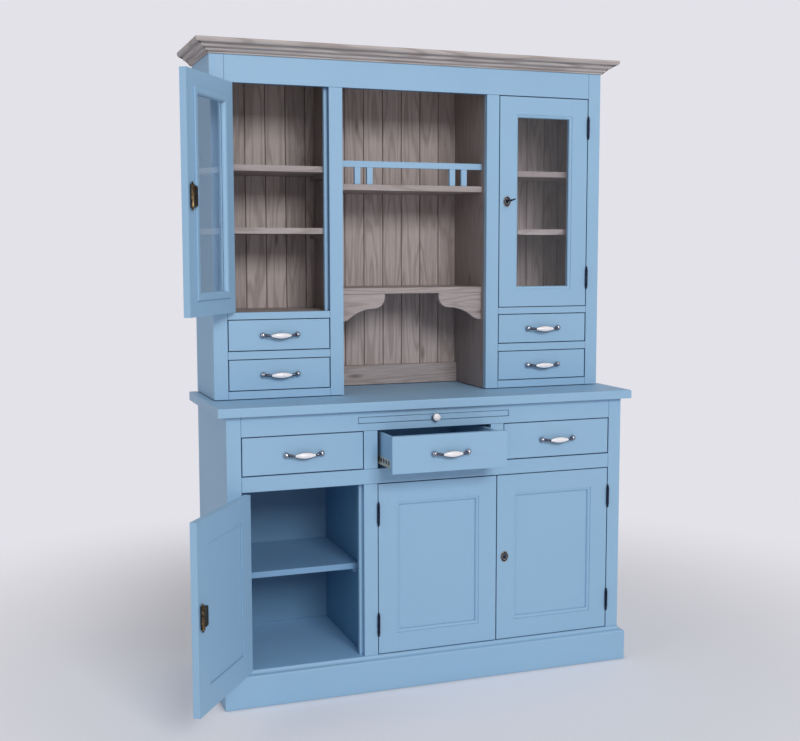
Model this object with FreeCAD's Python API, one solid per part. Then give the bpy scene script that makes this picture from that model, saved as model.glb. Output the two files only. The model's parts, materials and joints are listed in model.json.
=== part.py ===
"""A painted Welsh dresser: a base cupboard with drawers, and a hutch that stands on it.

Millimetres, in the dresser's own frame: X to the right, Y to the back, Z up. The origin is on
the floor, under the middle of the top board. Both left doors stand open and the middle drawer
is pulled out, which is the rest position.
"""
import FreeCAD, Part
import math
import os

from FreeCAD import Vector

# Overall sizes
base_width = 1440.0
base_height = 994.0
total_height = 2177.0
total_depth = 512.0
hutch_setback = 181.0

# Sawn stock
frame_thickness = 22.0
stile_width = 48.0
upright_thickness = 18.0
shelf_thickness = 20.0
floor_thickness = 20.0
base_back_thickness = 10.0
cleat_size = 15.0

# Top board of the base
top_thickness = 30.0
top_side_overhang = 30.0
top_front_overhang = 24.0
top_edge_radius = 4.0

# Plinth, a mitred skirting with an ogee on its top edge
plinth_height = 121.0
plinth_nose_radius = 7.0
plinth_cove_radius = 11.0
plinth_ledge = 2.0
plinth_fillet_height = 2.0
bearer_thickness = 20.0
centre_bearer_width = 60.0

# Openings of the base, from the top board downwards
top_rail_height = 69.0
base_drawer_opening = 130.0
mid_rail_height = 51.0
base_shelf_height = 305.0
base_shelf_setback = 81.0
partition_inset = 6.0

# Pull-out board under the top
pull_board_width = 548.0
pull_board_thickness = 19.0
pull_board_end_gap = 32.0
pull_board_drop = 24.0
pull_slot_clearance = 1.5
pull_groove_depth = 10.0
pull_groove_clearance = 0.5
pull_guide_web = 25.0
pull_guide_floor = 12.0
pull_guide_rear_gap = 46.0

# Pads that lift the hutch off the top board
hutch_lift = 3.0
pad_length = 45.0
pad_inset = 30.0
pad_margin = 2.0

# Openings of the hutch: how much of its clear width the centre bay has, and heights upwards
centre_bay_share = 0.4295
hutch_bottom_rail = 26.0
small_drawer_opening = 108.0
small_drawer_rail = 26.0
cupboard_rail = 23.0
frieze_height = 90.0
frieze_cover = 33.0

# Shelves of the hutch: the lower ones' tops, and how far up from those to the frieze the others are
shelf_stop_gap = 1.5
cupboard_shelf_low = 283.0
cupboard_shelf_share = 0.4437
centre_shelf_low = 369.0
centre_shelf_share = 0.5287

# Tongued and grooved back boards
back_board_thickness = 14.0
back_board_width = 74.0
# Joints stand off the even division, so the left board is wider and the right one narrower
back_board_shift = 15.0
back_board_chamfer = 3.0
tongue_length = 6.0
tongue_thickness = 5.0
tongue_clearance = 0.2
skirting_height = 74.0
skirting_thickness = 19.0

# Gallery on the upper centre shelf
gallery_height = 80.0
gallery_rail_height = 21.0
gallery_rail_thickness = 14.0
gallery_setback = 5.0
baluster_width = 21.0
baluster_thickness = 12.0
baluster_places = (155.0, 200.0)

# Scroll brackets under the lower centre shelf
bracket_length = 166.0
bracket_thickness = 20.0
bracket_setback = 3.0
bracket_end_drop = 12.0
bracket_nose_radius = 40.0
bracket_sweep_radius = 139.0
bracket_sweep_angle = 40.0

# Cornice, from its lower edge upwards
cornice_reach = 51.0
cornice_fillet_reach = 9.0
cornice_fillet_height = 3.5
cornice_cove_reach = 6.0
cornice_cove_height = 6.0
cornice_ovolo_reach = 19.0
cornice_ovolo_height = 18.5
cornice_ovolo_bow = 3.5
cornice_quirk = 4.0
cornice_crown_height = 12.0
cornice_lip = 5.0

# Doors
door_gap = 3.0
meeting_gap = 4.0
lower_frame_width = 66.0
upper_frame_width = 62.0
sticking_width = 11.0
sticking_depth = 9.5
sticking_quirk = 2.0
sticking_flat = 2.5
sticking_toe = 1.5
panel_thickness = 8.0
panel_groove_depth = 8.0
panel_clearance = 0.2
glass_thickness = 4.0
glass_clearance = 0.5
bead_lap = 13.0
bead_rise = 6.0
bead_round = 3.0
bead_shoulder = 4.5
upper_left_open = 125.0
lower_left_open = 125.0

# Stop strips behind the doors
stop_projection = 11.0
stop_depth = 16.0
stop_clearance = 0.5
stop_head_reach = 48.0

# Barrel hinges with finials
hinge_radius = 5.0
hinge_standoff = 0.5
hinge_inset = 105.0
knuckle_height = 28.0
knuckle_clearance = 0.3
hinge_neck_radius = 3.0
hinge_ball_radius = 4.2
hinge_ball_height = 7.0
hinge_tip_height = 4.0
hinge_tip_radius = 0.6
hinge_shoulder = 2.0
hinge_pin_radius = 2.0
hinge_pin_length = 24.0
hinge_pin_clearance = 0.3
leaf_thickness = 0.8
leaf_depth = 18.0

# Locks, escutcheons and the key
lock_backset = 29.0
lock_rise = 7.0
lock_stop_gap = 3.0
lock_case_margin = 1.0
lock_case_height = 66.0
lock_case_thickness = 12.0
lock_case_chamfer = 6.0
lock_barrel_radius = 8.0
lock_barrel_height = 72.0
lock_finial_radius = 4.5
lock_finial_height = 9.0
lock_chamber_radius = 9.5
lock_end_wall = 2.0
bolt_height = 14.0
bolt_thickness = 6.0
bolt_rise = 4.0
bolt_depth = 3.5
bolt_throw = 11.0
bolt_clearance = 0.4
bolt_notch_start = 4.5
bolt_notch_end = 13.5
bolt_notch_depth = 4.6
escutcheon_width = 30.0
escutcheon_height = 40.0
escutcheon_thickness = 2.0
keyhole_radius = 3.2
keyhole_slot_width = 3.2
keyhole_slot_length = 11.0
key_shaft_radius = 2.5
key_reach = 44.0
key_bow_width = 24.0
key_bow_length = 18.0
key_bow_wall = 4.0
key_bow_thickness = 3.0
key_bow_tilt = 22.0
key_collar_radius = 4.0
key_collar_length = 4.0
key_collar_standoff = 6.0
key_bit_length = 7.5
key_bit_width = 5.0
key_bit_thickness = 2.4
key_bit_start = 4.0
key_end_clearance = 1.0

# Drawers of the base, on steel roller slides
drawer_front_thickness = 20.0
drawer_front_radius = 1.5
drawer_side_thickness = 12.0
drawer_bottom_thickness = 6.0
drawer_bottom_rise = 5.0
drawer_top_gap = 10.0
drawer_rear_gap = 38.0
middle_drawer_pull = 140.0
slide_space = 12.5
slide_gauge = 1.2
slide_end_gap = 6.0
slide_set_in = 3.0
slide_floor_gap = 2.0
slide_channel_width = 10.0
slide_lip_width = 6.0
slide_lip_gap = 2.0
slide_flange_width = 8.3
slide_web_height = 24.0
roller_radius = 7.0
roller_width = 6.0
roller_clearance = 0.3
roller_set_back = 1.0
roller_axle_radius = 2.5
roller_inset = 12.0
packer_height = 35.0

# Small drawers of the hutch, on wooden runners
small_drawer_rear_gap = 35.0
small_drawer_side_thickness = 10.0
small_drawer_front_thickness = 18.0
small_drawer_side_clearance = 2.0
small_drawer_run_clearance = 0.5
runner_width = 62.0
runner_thickness = 18.0
runner_guide_height = 40.0
runner_guide_clearance = 1.0

# Bow handles with a porcelain grip
handle_centres = 120.0
handle_ball_radius = 10.5
handle_ball_sink = 1.5
handle_arm_radius = 4.0
handle_arm_tip_radius = 3.0
handle_grip_length = 68.0
handle_grip_radius = 11.0
handle_grip_end_radius = 2.6
handle_grip_stand = 23.0
handle_grip_back = 4.0

# Porcelain knob of the pull-out board
knob_radius = 14.0
knob_edge_radius = 11.0
knob_plate_radius = 8.0
knob_plate_thickness = 2.0
knob_stem_radius = 5.0
knob_stem_length = 9.0
knob_head_length = 14.0

# Planes that follow from the sizes above
half_width = base_width / 2
opening_half = half_width - stile_width
wall_half = half_width - upright_thickness
back_y = total_depth / 2
base_face = -total_depth / 2 + top_front_overhang
base_inside = base_face + frame_thickness
base_back_face = back_y - base_back_thickness
hutch_face = base_face + hutch_setback
hutch_inside = hutch_face + frame_thickness
hutch_back_face = back_y - back_board_thickness

# Heights in the base
floor_top = plinth_height
floor_under = floor_top - floor_thickness
top_under = base_height - top_thickness
drawer_head = top_under - top_rail_height
drawer_sill = drawer_head - base_drawer_opening
door_head = drawer_sill - mid_rail_height
dust_board_under = drawer_sill - upright_thickness
base_shelf_top = floor_top + base_shelf_height
pull_board_top = top_under - pull_board_drop
pull_board_under = pull_board_top - pull_board_thickness
pull_guide_under = pull_board_under - pull_guide_floor

# Heights in the hutch
hutch_foot = base_height + hutch_lift
small_sills = (
    hutch_foot + hutch_bottom_rail,
    hutch_foot + hutch_bottom_rail + small_drawer_opening + small_drawer_rail,
)
cupboard_sill = small_sills[1] + small_drawer_opening + cupboard_rail
cornice_height = (cornice_fillet_height + cornice_cove_height + cornice_ovolo_height
                  + cornice_crown_height + cornice_lip)
cornice_under = total_height - cornice_height
cupboard_head = cornice_under - frieze_height
hutch_top = cornice_under + frieze_cover
hutch_top_under = hutch_top - upright_thickness
cupboard_height = cupboard_head - cupboard_sill
cupboard_shelf_heights = (
    cupboard_shelf_low,
    cupboard_shelf_low + cupboard_shelf_share * (cupboard_height - cupboard_shelf_low),
)
centre_height = cupboard_head - base_height
centre_shelf_high = centre_shelf_low + centre_shelf_share * (centre_height - centre_shelf_low)

# Depths: what slides stops short of the back, and shelves stand behind the stop strips
base_drawer_length = base_back_face - drawer_rear_gap - base_face - drawer_front_thickness
slide_length = base_drawer_length - slide_end_gap
small_drawer_length = hutch_back_face - small_drawer_rear_gap - hutch_face - small_drawer_front_thickness
pull_guide_length = base_back_face - pull_guide_rear_gap - base_inside
pull_board_length = pull_guide_length - pull_board_end_gap + frame_thickness
shelf_setback = frame_thickness + stop_clearance + stop_depth + shelf_stop_gap

# Places across the base: three equal openings between stiles and muntins
base_opening_width = (base_width - 4 * stile_width) / 3
base_openings = [
    -half_width + stile_width + index * (base_opening_width + stile_width) for index in range(3)
]
partition_left = base_openings[0] + base_opening_width + partition_inset
partition_right = partition_left + upright_thickness
drawer_partition_left = base_openings[2] - (stile_width + upright_thickness) / 2
drawer_partition_right = drawer_partition_left + upright_thickness
door_meeting = (base_openings[1] + base_opening_width + base_openings[2]) / 2

# Places across the hutch
hutch_clear_width = 2 * opening_half - 2 * stile_width
centre_half = centre_bay_share * hutch_clear_width / 2
side_bay_inner = -centre_half - stile_width
hutch_wall = centre_half + upright_thickness

# Plinth moulding, built up from its top edge
plinth_reach = plinth_ledge + plinth_cove_radius + plinth_nose_radius
plinth_cove_foot = plinth_height - plinth_fillet_height - plinth_cove_radius
plinth_flat_height = plinth_cove_foot - plinth_nose_radius

# Locks sit beside the stop strips and inside the stile; a drawer's slide sets how high it hangs
lock_edge_setback = stop_projection - door_gap + lock_stop_gap
lock_case_width = upper_frame_width - bead_lap - lock_edge_setback - lock_case_margin
lock_chamber_depth = key_bit_start + key_bit_width + key_end_clearance
bolt_length = lock_case_width - lock_end_wall
base_drawer_rise = slide_floor_gap + 2 * (slide_gauge + roller_clearance + roller_radius)
handle_ball_stand = handle_ball_radius - handle_ball_sink

# Hinge lines: the axis runs in the middle of the gap, just in front of the frame
hinge_line_offset = door_gap / 2
hinge_line_stand = hinge_radius + hinge_standoff

# Sine of half a right angle, and how near two planes lie to count as one
quarter = math.sqrt(0.5)
touching = 1e-3


def block(x_span, y_span, z_span):
    """A square-edged piece between three pairs of limits."""
    size = (x_span[1] - x_span[0], y_span[1] - y_span[0], z_span[1] - z_span[0])
    return Part.makeBox(*size, Vector(x_span[0], y_span[0], z_span[0]))


def outline(place, start, steps):
    """A closed wire: a step is a point, or a pair that is an arc through one point to another."""
    edges = []
    here = start
    for step in steps + [start]:
        if isinstance(step[0], tuple):
            through, end = step
            edges.append(Part.Arc(place(*here), place(*through), place(*end)).toShape())
        else:
            end = step
            edges.append(Part.LineSegment(place(*here), place(*end)).toShape())
        here = end
    return Part.Wire(edges)


def prism(place, start, steps, run):
    """The outline's face carried along a straight run."""
    return Part.Face(outline(place, start, steps)).extrude(run)


def turning(place, start, steps, centre, axis):
    """The outline's face turned once round an axis."""
    return Part.Face(outline(place, start, steps)).revolve(centre, axis, 360)


def bulge(start, end):
    """A convex quarter from a level start to an upright end."""
    through = (start[0] + (end[0] - start[0]) * quarter, end[1] - (end[1] - start[1]) * quarter)
    return (through, end)


def hollow(start, end):
    """A concave quarter from an upright start to a level end."""
    through = (end[0] - (end[0] - start[0]) * quarter, start[1] + (end[1] - start[1]) * quarter)
    return (through, end)


def bowed(start, end, bow):
    """A shallow arc that swells outwards and down from its chord."""
    run = (end[0] - start[0], end[1] - start[1])
    length = math.hypot(*run)
    through = ((start[0] + end[0]) / 2 + bow * run[1] / length,
               (start[1] + end[1]) / 2 - bow * run[0] / length)
    return (through, end)


def mirrored(solids):
    """The same pieces on the other side of the middle."""
    return [solid.mirror(Vector(0, 0, 0), Vector(1, 0, 0)) for solid in solids]


def both_sides(solids):
    """Pieces on the left and their mirror images on the right."""
    return solids + mirrored(solids)


def swung(solids, hinge, angle):
    """Pieces turned about an upright line through hinge, a pair of X and Y."""
    copies = []
    for solid in solids:
        copy = solid.copy()
        copy.rotate(Vector(hinge[0], hinge[1], 0), Vector(0, 0, 1), angle)
        copies.append(copy)
    return copies


def drawn_out(solids, distance):
    """Pieces pulled straight out of the front."""
    copies = []
    for solid in solids:
        copy = solid.copy()
        copy.translate(Vector(0, -distance, 0))
        copies.append(copy)
    return copies


def rounded_front(solid, radius):
    """A drawer front or board with its front edges eased."""
    front = solid.BoundBox.YMin
    edges = [edge for edge in solid.Edges if abs(edge.BoundBox.YMax - front) < touching]
    return solid.makeFillet(radius, edges)


def skirted(start, steps, face, half, reach, z_span):
    """A moulding round the front and both sides, mitred at the corners, square at the back.

    Its section is given as distance out from the body and height.
    """
    low, high = z_span
    rise = Vector(0, 0, high - low)

    def level(x, y):
        return Vector(x, y, low)

    def front_section(out, z):
        return Vector(-half - reach, face - out, z)

    def side_section(out, z):
        return Vector(-half - out, face - reach, z)

    front_run = prism(front_section, start, steps, Vector(2 * (half + reach), 0, 0))
    front_mitre = prism(level, (-half, face), [
        (half, face), (half + reach, face - reach), (-half - reach, face - reach)], rise)
    side_run = prism(side_section, start, steps, Vector(0, back_y - face + reach, 0))
    side_mitre = prism(level, (-half, face), [
        (-half - reach, face - reach), (-half - reach, back_y), (-half, back_y)], rise)
    return [front_run.common(front_mitre)] + both_sides([side_run.common(side_mitre)])


def ring(start, steps, x_span, z_span, y_span, width):
    """Four mitred strips round the inside of a door frame.

    Their section is given as distance in from the frame and as Y.
    """
    left, right = x_span
    low, high = z_span
    across = Vector(right - left, 0, 0)
    upward = Vector(0, 0, high - low)
    inward = Vector(0, y_span[1] - y_span[0], 0)

    def flat(x, z):
        return Vector(x, y_span[0], z)

    inner_low_left = (left + width, low + width)
    inner_low_right = (right - width, low + width)
    inner_high_left = (left + width, high - width)
    inner_high_right = (right - width, high - width)
    runs = [
        (lambda d, y: Vector(left, y, low + d), across,
         (left, low), [(right, low), inner_low_right, inner_low_left]),
        (lambda d, y: Vector(left, y, high - d), across,
         (left, high), [(right, high), inner_high_right, inner_high_left]),
        (lambda d, y: Vector(left + d, y, low), upward,
         (left, low), [(left, high), inner_high_left, inner_low_left]),
        (lambda d, y: Vector(right - d, y, low), upward,
         (right, low), [(right, high), inner_high_right, inner_low_right]),
    ]
    strips = []
    for section, run, corner, others in runs:
        strip = prism(section, start, steps, run)
        strips.append(strip.common(prism(flat, corner, others, inward)))
    return strips


def base_uprights():
    """Side panels down to the floor, the cupboard partition and the drawer partition."""
    side = block((-half_width, -wall_half), (base_inside, back_y), (0, top_under))
    partition = block((partition_left, partition_right), (base_inside, base_back_face),
                      (floor_top, pull_guide_under))
    drawer_partition = block((drawer_partition_left, drawer_partition_right),
                             (base_inside, base_back_face), (drawer_sill, pull_guide_under))
    return both_sides([side]) + [partition, drawer_partition]


def base_decks():
    """The cupboard floor, notched round the stiles, and the dust boards under the drawers."""
    def level(x, y):
        return Vector(x, y, floor_under)

    floor = prism(level, (-opening_half, base_face), [
        (opening_half, base_face), (opening_half, base_inside), (wall_half, base_inside),
        (wall_half, base_back_face), (-wall_half, base_back_face), (-wall_half, base_inside),
        (-opening_half, base_inside)], Vector(0, 0, floor_thickness))
    depth = (base_inside, base_back_face)
    height = (dust_board_under, drawer_sill)
    left_board = block((-wall_half, partition_left), depth, height)
    right_board = block((partition_right, wall_half), depth, height)
    return [floor, left_board, right_board]


def base_back_panel():
    """One sheet let in between the side panels."""
    return [block((-wall_half, wall_half), (base_back_face, back_y), (floor_under, top_under))]


def base_face_frame():
    """Stiles to the floor, the middle rail between them and the muntins between the rails."""
    depth = (base_face, base_inside)
    pieces = both_sides([block((-half_width, -opening_half), depth, (0, top_under))])
    pieces.append(block((-opening_half, opening_half), depth, (door_head, drawer_sill)))
    for index in range(2):
        left = base_openings[index] + base_opening_width
        pieces.append(block((left, left + stile_width), depth, (drawer_sill, drawer_head)))
    left = base_openings[0] + base_opening_width
    pieces.append(block((left, left + stile_width), depth, (floor_top, door_head)))
    return pieces


def slotted_top_rail():
    """The top rail with the slot that the pull-out board slides through."""
    depth = (base_face, base_inside)
    rail = block((-opening_half, opening_half), depth, (drawer_head, top_under))
    half_slot = pull_board_width / 2 + pull_slot_clearance
    slot = block((-half_slot, half_slot), depth,
                 (pull_board_under - pull_slot_clearance, pull_board_top + pull_slot_clearance))
    return [rail.cut(slot)]


def top_board():
    """The board that overhangs the base at the front and the sides, its top edges eased."""
    half = half_width + top_side_overhang
    board = block((-half, half), (-total_depth / 2, back_y), (top_under, base_height))
    eased = []
    for edge in board.Edges:
        limits = edge.BoundBox
        on_top = limits.ZMin > base_height - touching
        at_back = limits.YMin > back_y - touching
        if on_top and not at_back:
            eased.append(edge)
    return [board.makeFillet(top_edge_radius, eased)]


def plinth_skirting():
    """A flat face, then an ogee of a nosing and a cove, and a small fillet at the body."""
    nose_out = plinth_reach - plinth_nose_radius
    cove_out = nose_out - plinth_cove_radius
    nose_through = (nose_out + plinth_nose_radius * quarter,
                    plinth_flat_height + plinth_nose_radius * quarter)
    cove_through = (nose_out - plinth_cove_radius * quarter,
                    plinth_cove_foot + plinth_cove_radius * (1 - quarter))
    steps = [
        (plinth_reach, 0.0),
        (plinth_reach, plinth_flat_height),
        (nose_through, (nose_out, plinth_cove_foot)),
        (cove_through, (cove_out, plinth_cove_foot + plinth_cove_radius)),
        (cove_out, plinth_height),
        (0.0, plinth_height),
    ]
    return skirted((0.0, 0.0), steps, base_face, half_width, plinth_reach, (0.0, plinth_height))


def plinth_bearers():
    """Rails on edge under the cupboard floor: front, back and one down the middle."""
    height = (0.0, floor_under)
    front = block((-opening_half, opening_half), (base_face, base_inside), height)
    back = block((-wall_half, wall_half), (base_back_face - bearer_thickness, base_back_face), height)
    middle = block((-centre_bearer_width / 2, centre_bearer_width / 2),
                   (base_inside, base_back_face - bearer_thickness), height)
    return [front, back, middle]


def drawer_walls():
    """For each base drawer, the carcass wall on its left and on its right."""
    return (
        (-wall_half, partition_left),
        (partition_right, drawer_partition_left),
        (drawer_partition_right, wall_half),
    )


def drawer_packers():
    """Battens between the carcass walls and the drawer openings, which carry the slides."""
    depth = (base_inside, base_inside + slide_length)
    height = (drawer_sill, drawer_sill + packer_height)
    pieces = []
    for left, walls in zip(base_openings, drawer_walls()):
        pieces.append(block((walls[0], left), depth, height))
        pieces.append(block((left + base_opening_width, walls[1]), depth, height))
    return pieces


def pull_board_guides():
    """Grooved rails under the top, which the pull-out board's edges run in."""
    edge = pull_board_width / 2
    inner = edge + pull_slot_clearance - pull_groove_depth
    outer = edge + pull_guide_web
    depth = (base_inside, base_inside + pull_guide_length)
    rail = block((-outer, -inner), depth, (pull_guide_under, top_under))
    groove = block((-edge - pull_slot_clearance, -inner), depth,
                   (pull_board_under - pull_groove_clearance, pull_board_top + pull_groove_clearance))
    return both_sides([rail.cut(groove)])


def small_drawer_runners():
    """Runners that the small drawers slide on, with guides on top of them."""
    depth = (hutch_inside, hutch_back_face)
    guide_outer = -opening_half + runner_guide_clearance
    guide_inner = side_bay_inner - runner_guide_clearance
    pieces = []
    for sill in small_sills:
        low = (sill - runner_thickness, sill)
        high = (sill, sill + runner_guide_height)
        pieces.append(block((-wall_half, -wall_half + runner_width), depth, low))
        pieces.append(block((-hutch_wall - runner_width, -hutch_wall), depth, low))
        pieces.append(block((-wall_half, guide_outer), depth, high))
        pieces.append(block((guide_inner, -hutch_wall), depth, high))
    return both_sides(pieces)


def wooden_runners():
    """All the wooden rails that drawers and the pull-out board run on."""
    return drawer_packers() + pull_board_guides() + small_drawer_runners()


def slide_levels():
    """Heights of a roller slide: channel foot, roller axle, flange foot and channel lip."""
    flange_foot = drawer_sill + base_drawer_rise - slide_gauge
    axle = flange_foot - roller_clearance - roller_radius
    channel_foot = axle - roller_radius - roller_clearance - slide_gauge
    lip_foot = flange_foot + slide_gauge + slide_lip_gap
    return channel_foot, axle, flange_foot, lip_foot


def roller(inner, outer, y, axle_height, pin_end):
    """A wheel on a short axle that runs across the drawer."""
    wheel = Part.makeCylinder(roller_radius, outer - inner, Vector(inner, y, axle_height),
                              Vector(1, 0, 0))
    reach = pin_end - inner
    pin = Part.makeCylinder(roller_axle_radius, abs(reach), Vector(inner, y, axle_height),
                            Vector(math.copysign(1, reach), 0, 0))
    return wheel.fuse(pin).removeSplitter()


def cabinet_slide(edge):
    """The fixed channel of a roller slide and its front roller, on the left of an opening."""
    channel_foot, axle, _, lip_foot = slide_levels()
    top = lip_foot + slide_gauge
    front = base_inside + slide_set_in

    def section(x, z):
        return Vector(edge + x, front, z)

    channel = prism(section, (0.0, channel_foot), [
        (slide_channel_width, channel_foot), (slide_channel_width, channel_foot + slide_gauge),
        (slide_gauge, channel_foot + slide_gauge), (slide_gauge, lip_foot),
        (slide_lip_width, lip_foot), (slide_lip_width, top), (0.0, top)],
        Vector(0, slide_length - slide_set_in, 0))
    wheel_outer = edge + slide_channel_width - roller_set_back
    wheel = roller(wheel_outer - roller_width, wheel_outer, front + roller_inset, axle,
                   edge + slide_gauge)
    return [channel, wheel]


def drawer_slide(edge):
    """The flanged strip and rear roller on the left side of a base drawer."""
    _, axle, flange_foot, _ = slide_levels()
    side = edge + slide_space
    web = side - slide_gauge
    front = base_face + drawer_front_thickness
    length = base_drawer_length - roller_inset

    def section(x, z):
        return Vector(x, front, z)

    flange_top = flange_foot + slide_gauge
    strip = prism(section, (side, flange_foot), [
        (side, flange_foot + slide_web_height), (web, flange_foot + slide_web_height),
        (web, flange_top), (web - slide_flange_width, flange_top),
        (web - slide_flange_width, flange_foot)], Vector(0, length, 0))
    ear = block((web, side), (front + length - 2 * roller_inset, front + length),
                (axle - roller_radius, flange_foot))
    wheel_outer = edge + slide_channel_width - roller_set_back
    wheel = roller(wheel_outer - roller_width, wheel_outer, front + length - roller_inset, axle, web)
    return [strip.fuse(ear).removeSplitter(), wheel]


def pair_across(pieces, left, width):
    """Pieces on the left of an opening with their mirror images on its right."""
    middle = Vector(left + width / 2, 0, 0)
    return pieces + [piece.mirror(middle, Vector(1, 0, 0)) for piece in pieces]


def cabinet_slides():
    """The fixed halves of all the roller slides."""
    pieces = []
    for left in base_openings:
        pieces += pair_across(cabinet_slide(left), left, base_opening_width)
    return pieces


def base_shelves():
    """One loose shelf in each lower cupboard."""
    depth = (base_face + base_shelf_setback, base_back_face)
    height = (base_shelf_top - shelf_thickness, base_shelf_top)
    return [block((-wall_half, partition_left), depth, height),
            block((partition_right, wall_half), depth, height)]


def shelf_cleats():
    """Battens under the ends of every shelf in a cupboard."""
    pieces = []
    base_depth = (base_face + base_shelf_setback + cleat_size, base_back_face)
    base_top = base_shelf_top - shelf_thickness
    for left, right in ((-wall_half, partition_left), (partition_right, wall_half)):
        height = (base_top - cleat_size, base_top)
        pieces.append(block((left, left + cleat_size), base_depth, height))
        pieces.append(block((right - cleat_size, right), base_depth, height))
    hutch_depth = (hutch_face + shelf_setback + cleat_size, hutch_back_face)
    for rise in cupboard_shelf_heights:
        under = cupboard_sill + rise - shelf_thickness
        height = (under - cleat_size, under)
        pieces += both_sides([
            block((-wall_half, -wall_half + cleat_size), hutch_depth, height),
            block((-hutch_wall - cleat_size, -hutch_wall), hutch_depth, height)])
    return pieces


def lock_level(z_span):
    """A lock sits a little above the middle of its door."""
    return (z_span[0] + z_span[1]) / 2 + lock_rise


def bolt_pocket(edge, inside, lock_height):
    """The mortise that a lock's bolt shoots into, cut into a stop strip on the right of a door."""
    low = lock_height + bolt_rise - bolt_clearance
    high = lock_height + bolt_rise + bolt_height + bolt_clearance
    front = inside + bolt_depth - bolt_clearance
    return block((edge, edge + stop_projection), (front, front + bolt_thickness + 2 * bolt_clearance),
                 (low, high))


def door_stops():
    """Strips that the doors close against, mortised where a bolt goes in."""
    lower_depth = (base_inside + stop_clearance, base_inside + stop_clearance + stop_depth)
    upper_depth = (hutch_inside + stop_clearance, hutch_inside + stop_clearance + stop_depth)
    lower_edge = base_openings[0] + base_opening_width - stop_projection
    lower = block((lower_edge, partition_left), lower_depth, (floor_top, dust_board_under))
    lower = lower.cut(bolt_pocket(lower_edge, base_inside, lock_level(lower_span)))
    head = block((base_openings[1], opening_half), lower_depth,
                 (door_head - stop_projection, dust_board_under))
    upper_edge = side_bay_inner - stop_projection
    upper = block((upper_edge, -hutch_wall), upper_depth, (cupboard_sill, cupboard_head + stop_head_reach))
    upper = upper.cut(bolt_pocket(upper_edge, hutch_inside, lock_level(upper_span)))
    return [lower, head] + both_sides([upper])


def hutch_uprights():
    """Side panels of the hutch, the partitions beside its open centre bay, and pads under both."""
    side = block((-half_width, -wall_half), (hutch_inside, back_y), (hutch_foot, hutch_top))
    partition = block((-hutch_wall, -centre_half), (hutch_inside, hutch_back_face),
                      (hutch_foot, hutch_top_under))
    front = hutch_inside + pad_inset
    back = hutch_back_face - pad_inset
    pads = []
    for left, right in ((-half_width, -wall_half), (-hutch_wall, -centre_half)):
        for depth in ((front, front + pad_length), (back - pad_length, back)):
            pads.append(block((left + pad_margin, right - pad_margin), depth, (base_height, hutch_foot)))
    return both_sides([side, partition] + pads)


def hutch_top_panel():
    """The top of the hutch, let in between the side panels below the cornice."""
    return [block((-wall_half, wall_half), (hutch_inside, hutch_back_face),
                  (hutch_top_under, hutch_top))]


def hutch_back_boards():
    """Tongued and grooved boards with a V joint on the face, standing side by side."""
    count = round(2 * wall_half / back_board_width)
    pitch = 2 * wall_half / count
    face = hutch_back_face
    shoulder = face + back_board_chamfer
    middle = (shoulder + back_y) / 2
    tongue = (middle - tongue_thickness / 2, middle + tongue_thickness / 2)
    groove = (tongue[0] - tongue_clearance, tongue[1] + tongue_clearance)

    def level(x, y):
        return Vector(x, y, hutch_foot)

    joints = [index * pitch - wall_half + back_board_shift for index in range(1, count)]
    edges = [-wall_half] + joints + [wall_half]
    boards = []
    for index in range(count):
        left = edges[index]
        right = edges[index + 1]
        steps = [(right, back_y)]
        if index < count - 1:
            tip = right + tongue_length
            steps += [(right, tongue[1]), (tip, tongue[1]), (tip, tongue[0]), (right, tongue[0])]
        steps += [(right, shoulder), (right - back_board_chamfer, face),
                  (left + back_board_chamfer, face), (left, shoulder)]
        if index > 0:
            root = left + tongue_length + tongue_clearance
            steps += [(left, groove[0]), (root, groove[0]), (root, groove[1]), (left, groove[1])]
        boards.append(prism(level, (left, back_y), steps, Vector(0, 0, hutch_top - hutch_foot)))
    return boards


def hutch_face_frame():
    """Outer stiles, inner stiles, the rails of the side bays and the frieze."""
    depth = (hutch_face, hutch_inside)
    bay = (-opening_half, side_bay_inner)
    left = [
        block((-half_width, -opening_half), depth, (hutch_foot, hutch_top)),
        block((side_bay_inner, -centre_half), depth, (hutch_foot, cupboard_head)),
        block(bay, depth, (hutch_foot, small_sills[0])),
        block(bay, depth, (small_sills[0] + small_drawer_opening, small_sills[1])),
        block(bay, depth, (small_sills[1] + small_drawer_opening, cupboard_sill)),
    ]
    frieze = block((-opening_half, opening_half), depth, (cupboard_head, hutch_top))
    return both_sides(left) + [frieze]


def cornice():
    """Fillet, cove, flat ovolo, quirk and crown, mitred round the top of the hutch."""
    out = cornice_fillet_reach
    height = cornice_under + cornice_fillet_height
    steps = [(out, cornice_under), (out, height)]
    cove_end = (out + cornice_cove_reach, height + cornice_cove_height)
    steps.append(hollow((out, height), cove_end))
    ovolo_end = (cove_end[0] + cornice_ovolo_reach, cove_end[1] + cornice_ovolo_height)
    steps.append(bowed(cove_end, ovolo_end, cornice_ovolo_bow))
    crown_start = (ovolo_end[0] + cornice_quirk, ovolo_end[1])
    crown_end = (cornice_reach, ovolo_end[1] + cornice_crown_height)
    steps += [crown_start, bulge(crown_start, crown_end)]
    steps += [(cornice_reach, total_height), (0.0, total_height)]
    return skirted((0.0, cornice_under), steps, hutch_face, half_width, cornice_reach,
                   (cornice_under, total_height))


def cupboard_shelves():
    """Floors of the glazed cupboards and the shelves above them."""
    bay = (-wall_half, -hutch_wall)
    floor = block(bay, (hutch_inside, hutch_back_face),
                  (cupboard_sill - shelf_thickness, cupboard_sill))
    pieces = [floor]
    for rise in cupboard_shelf_heights:
        top = cupboard_sill + rise
        pieces.append(block(bay, (hutch_face + shelf_setback, hutch_back_face),
                            (top - shelf_thickness, top)))
    return both_sides(pieces)


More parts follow.
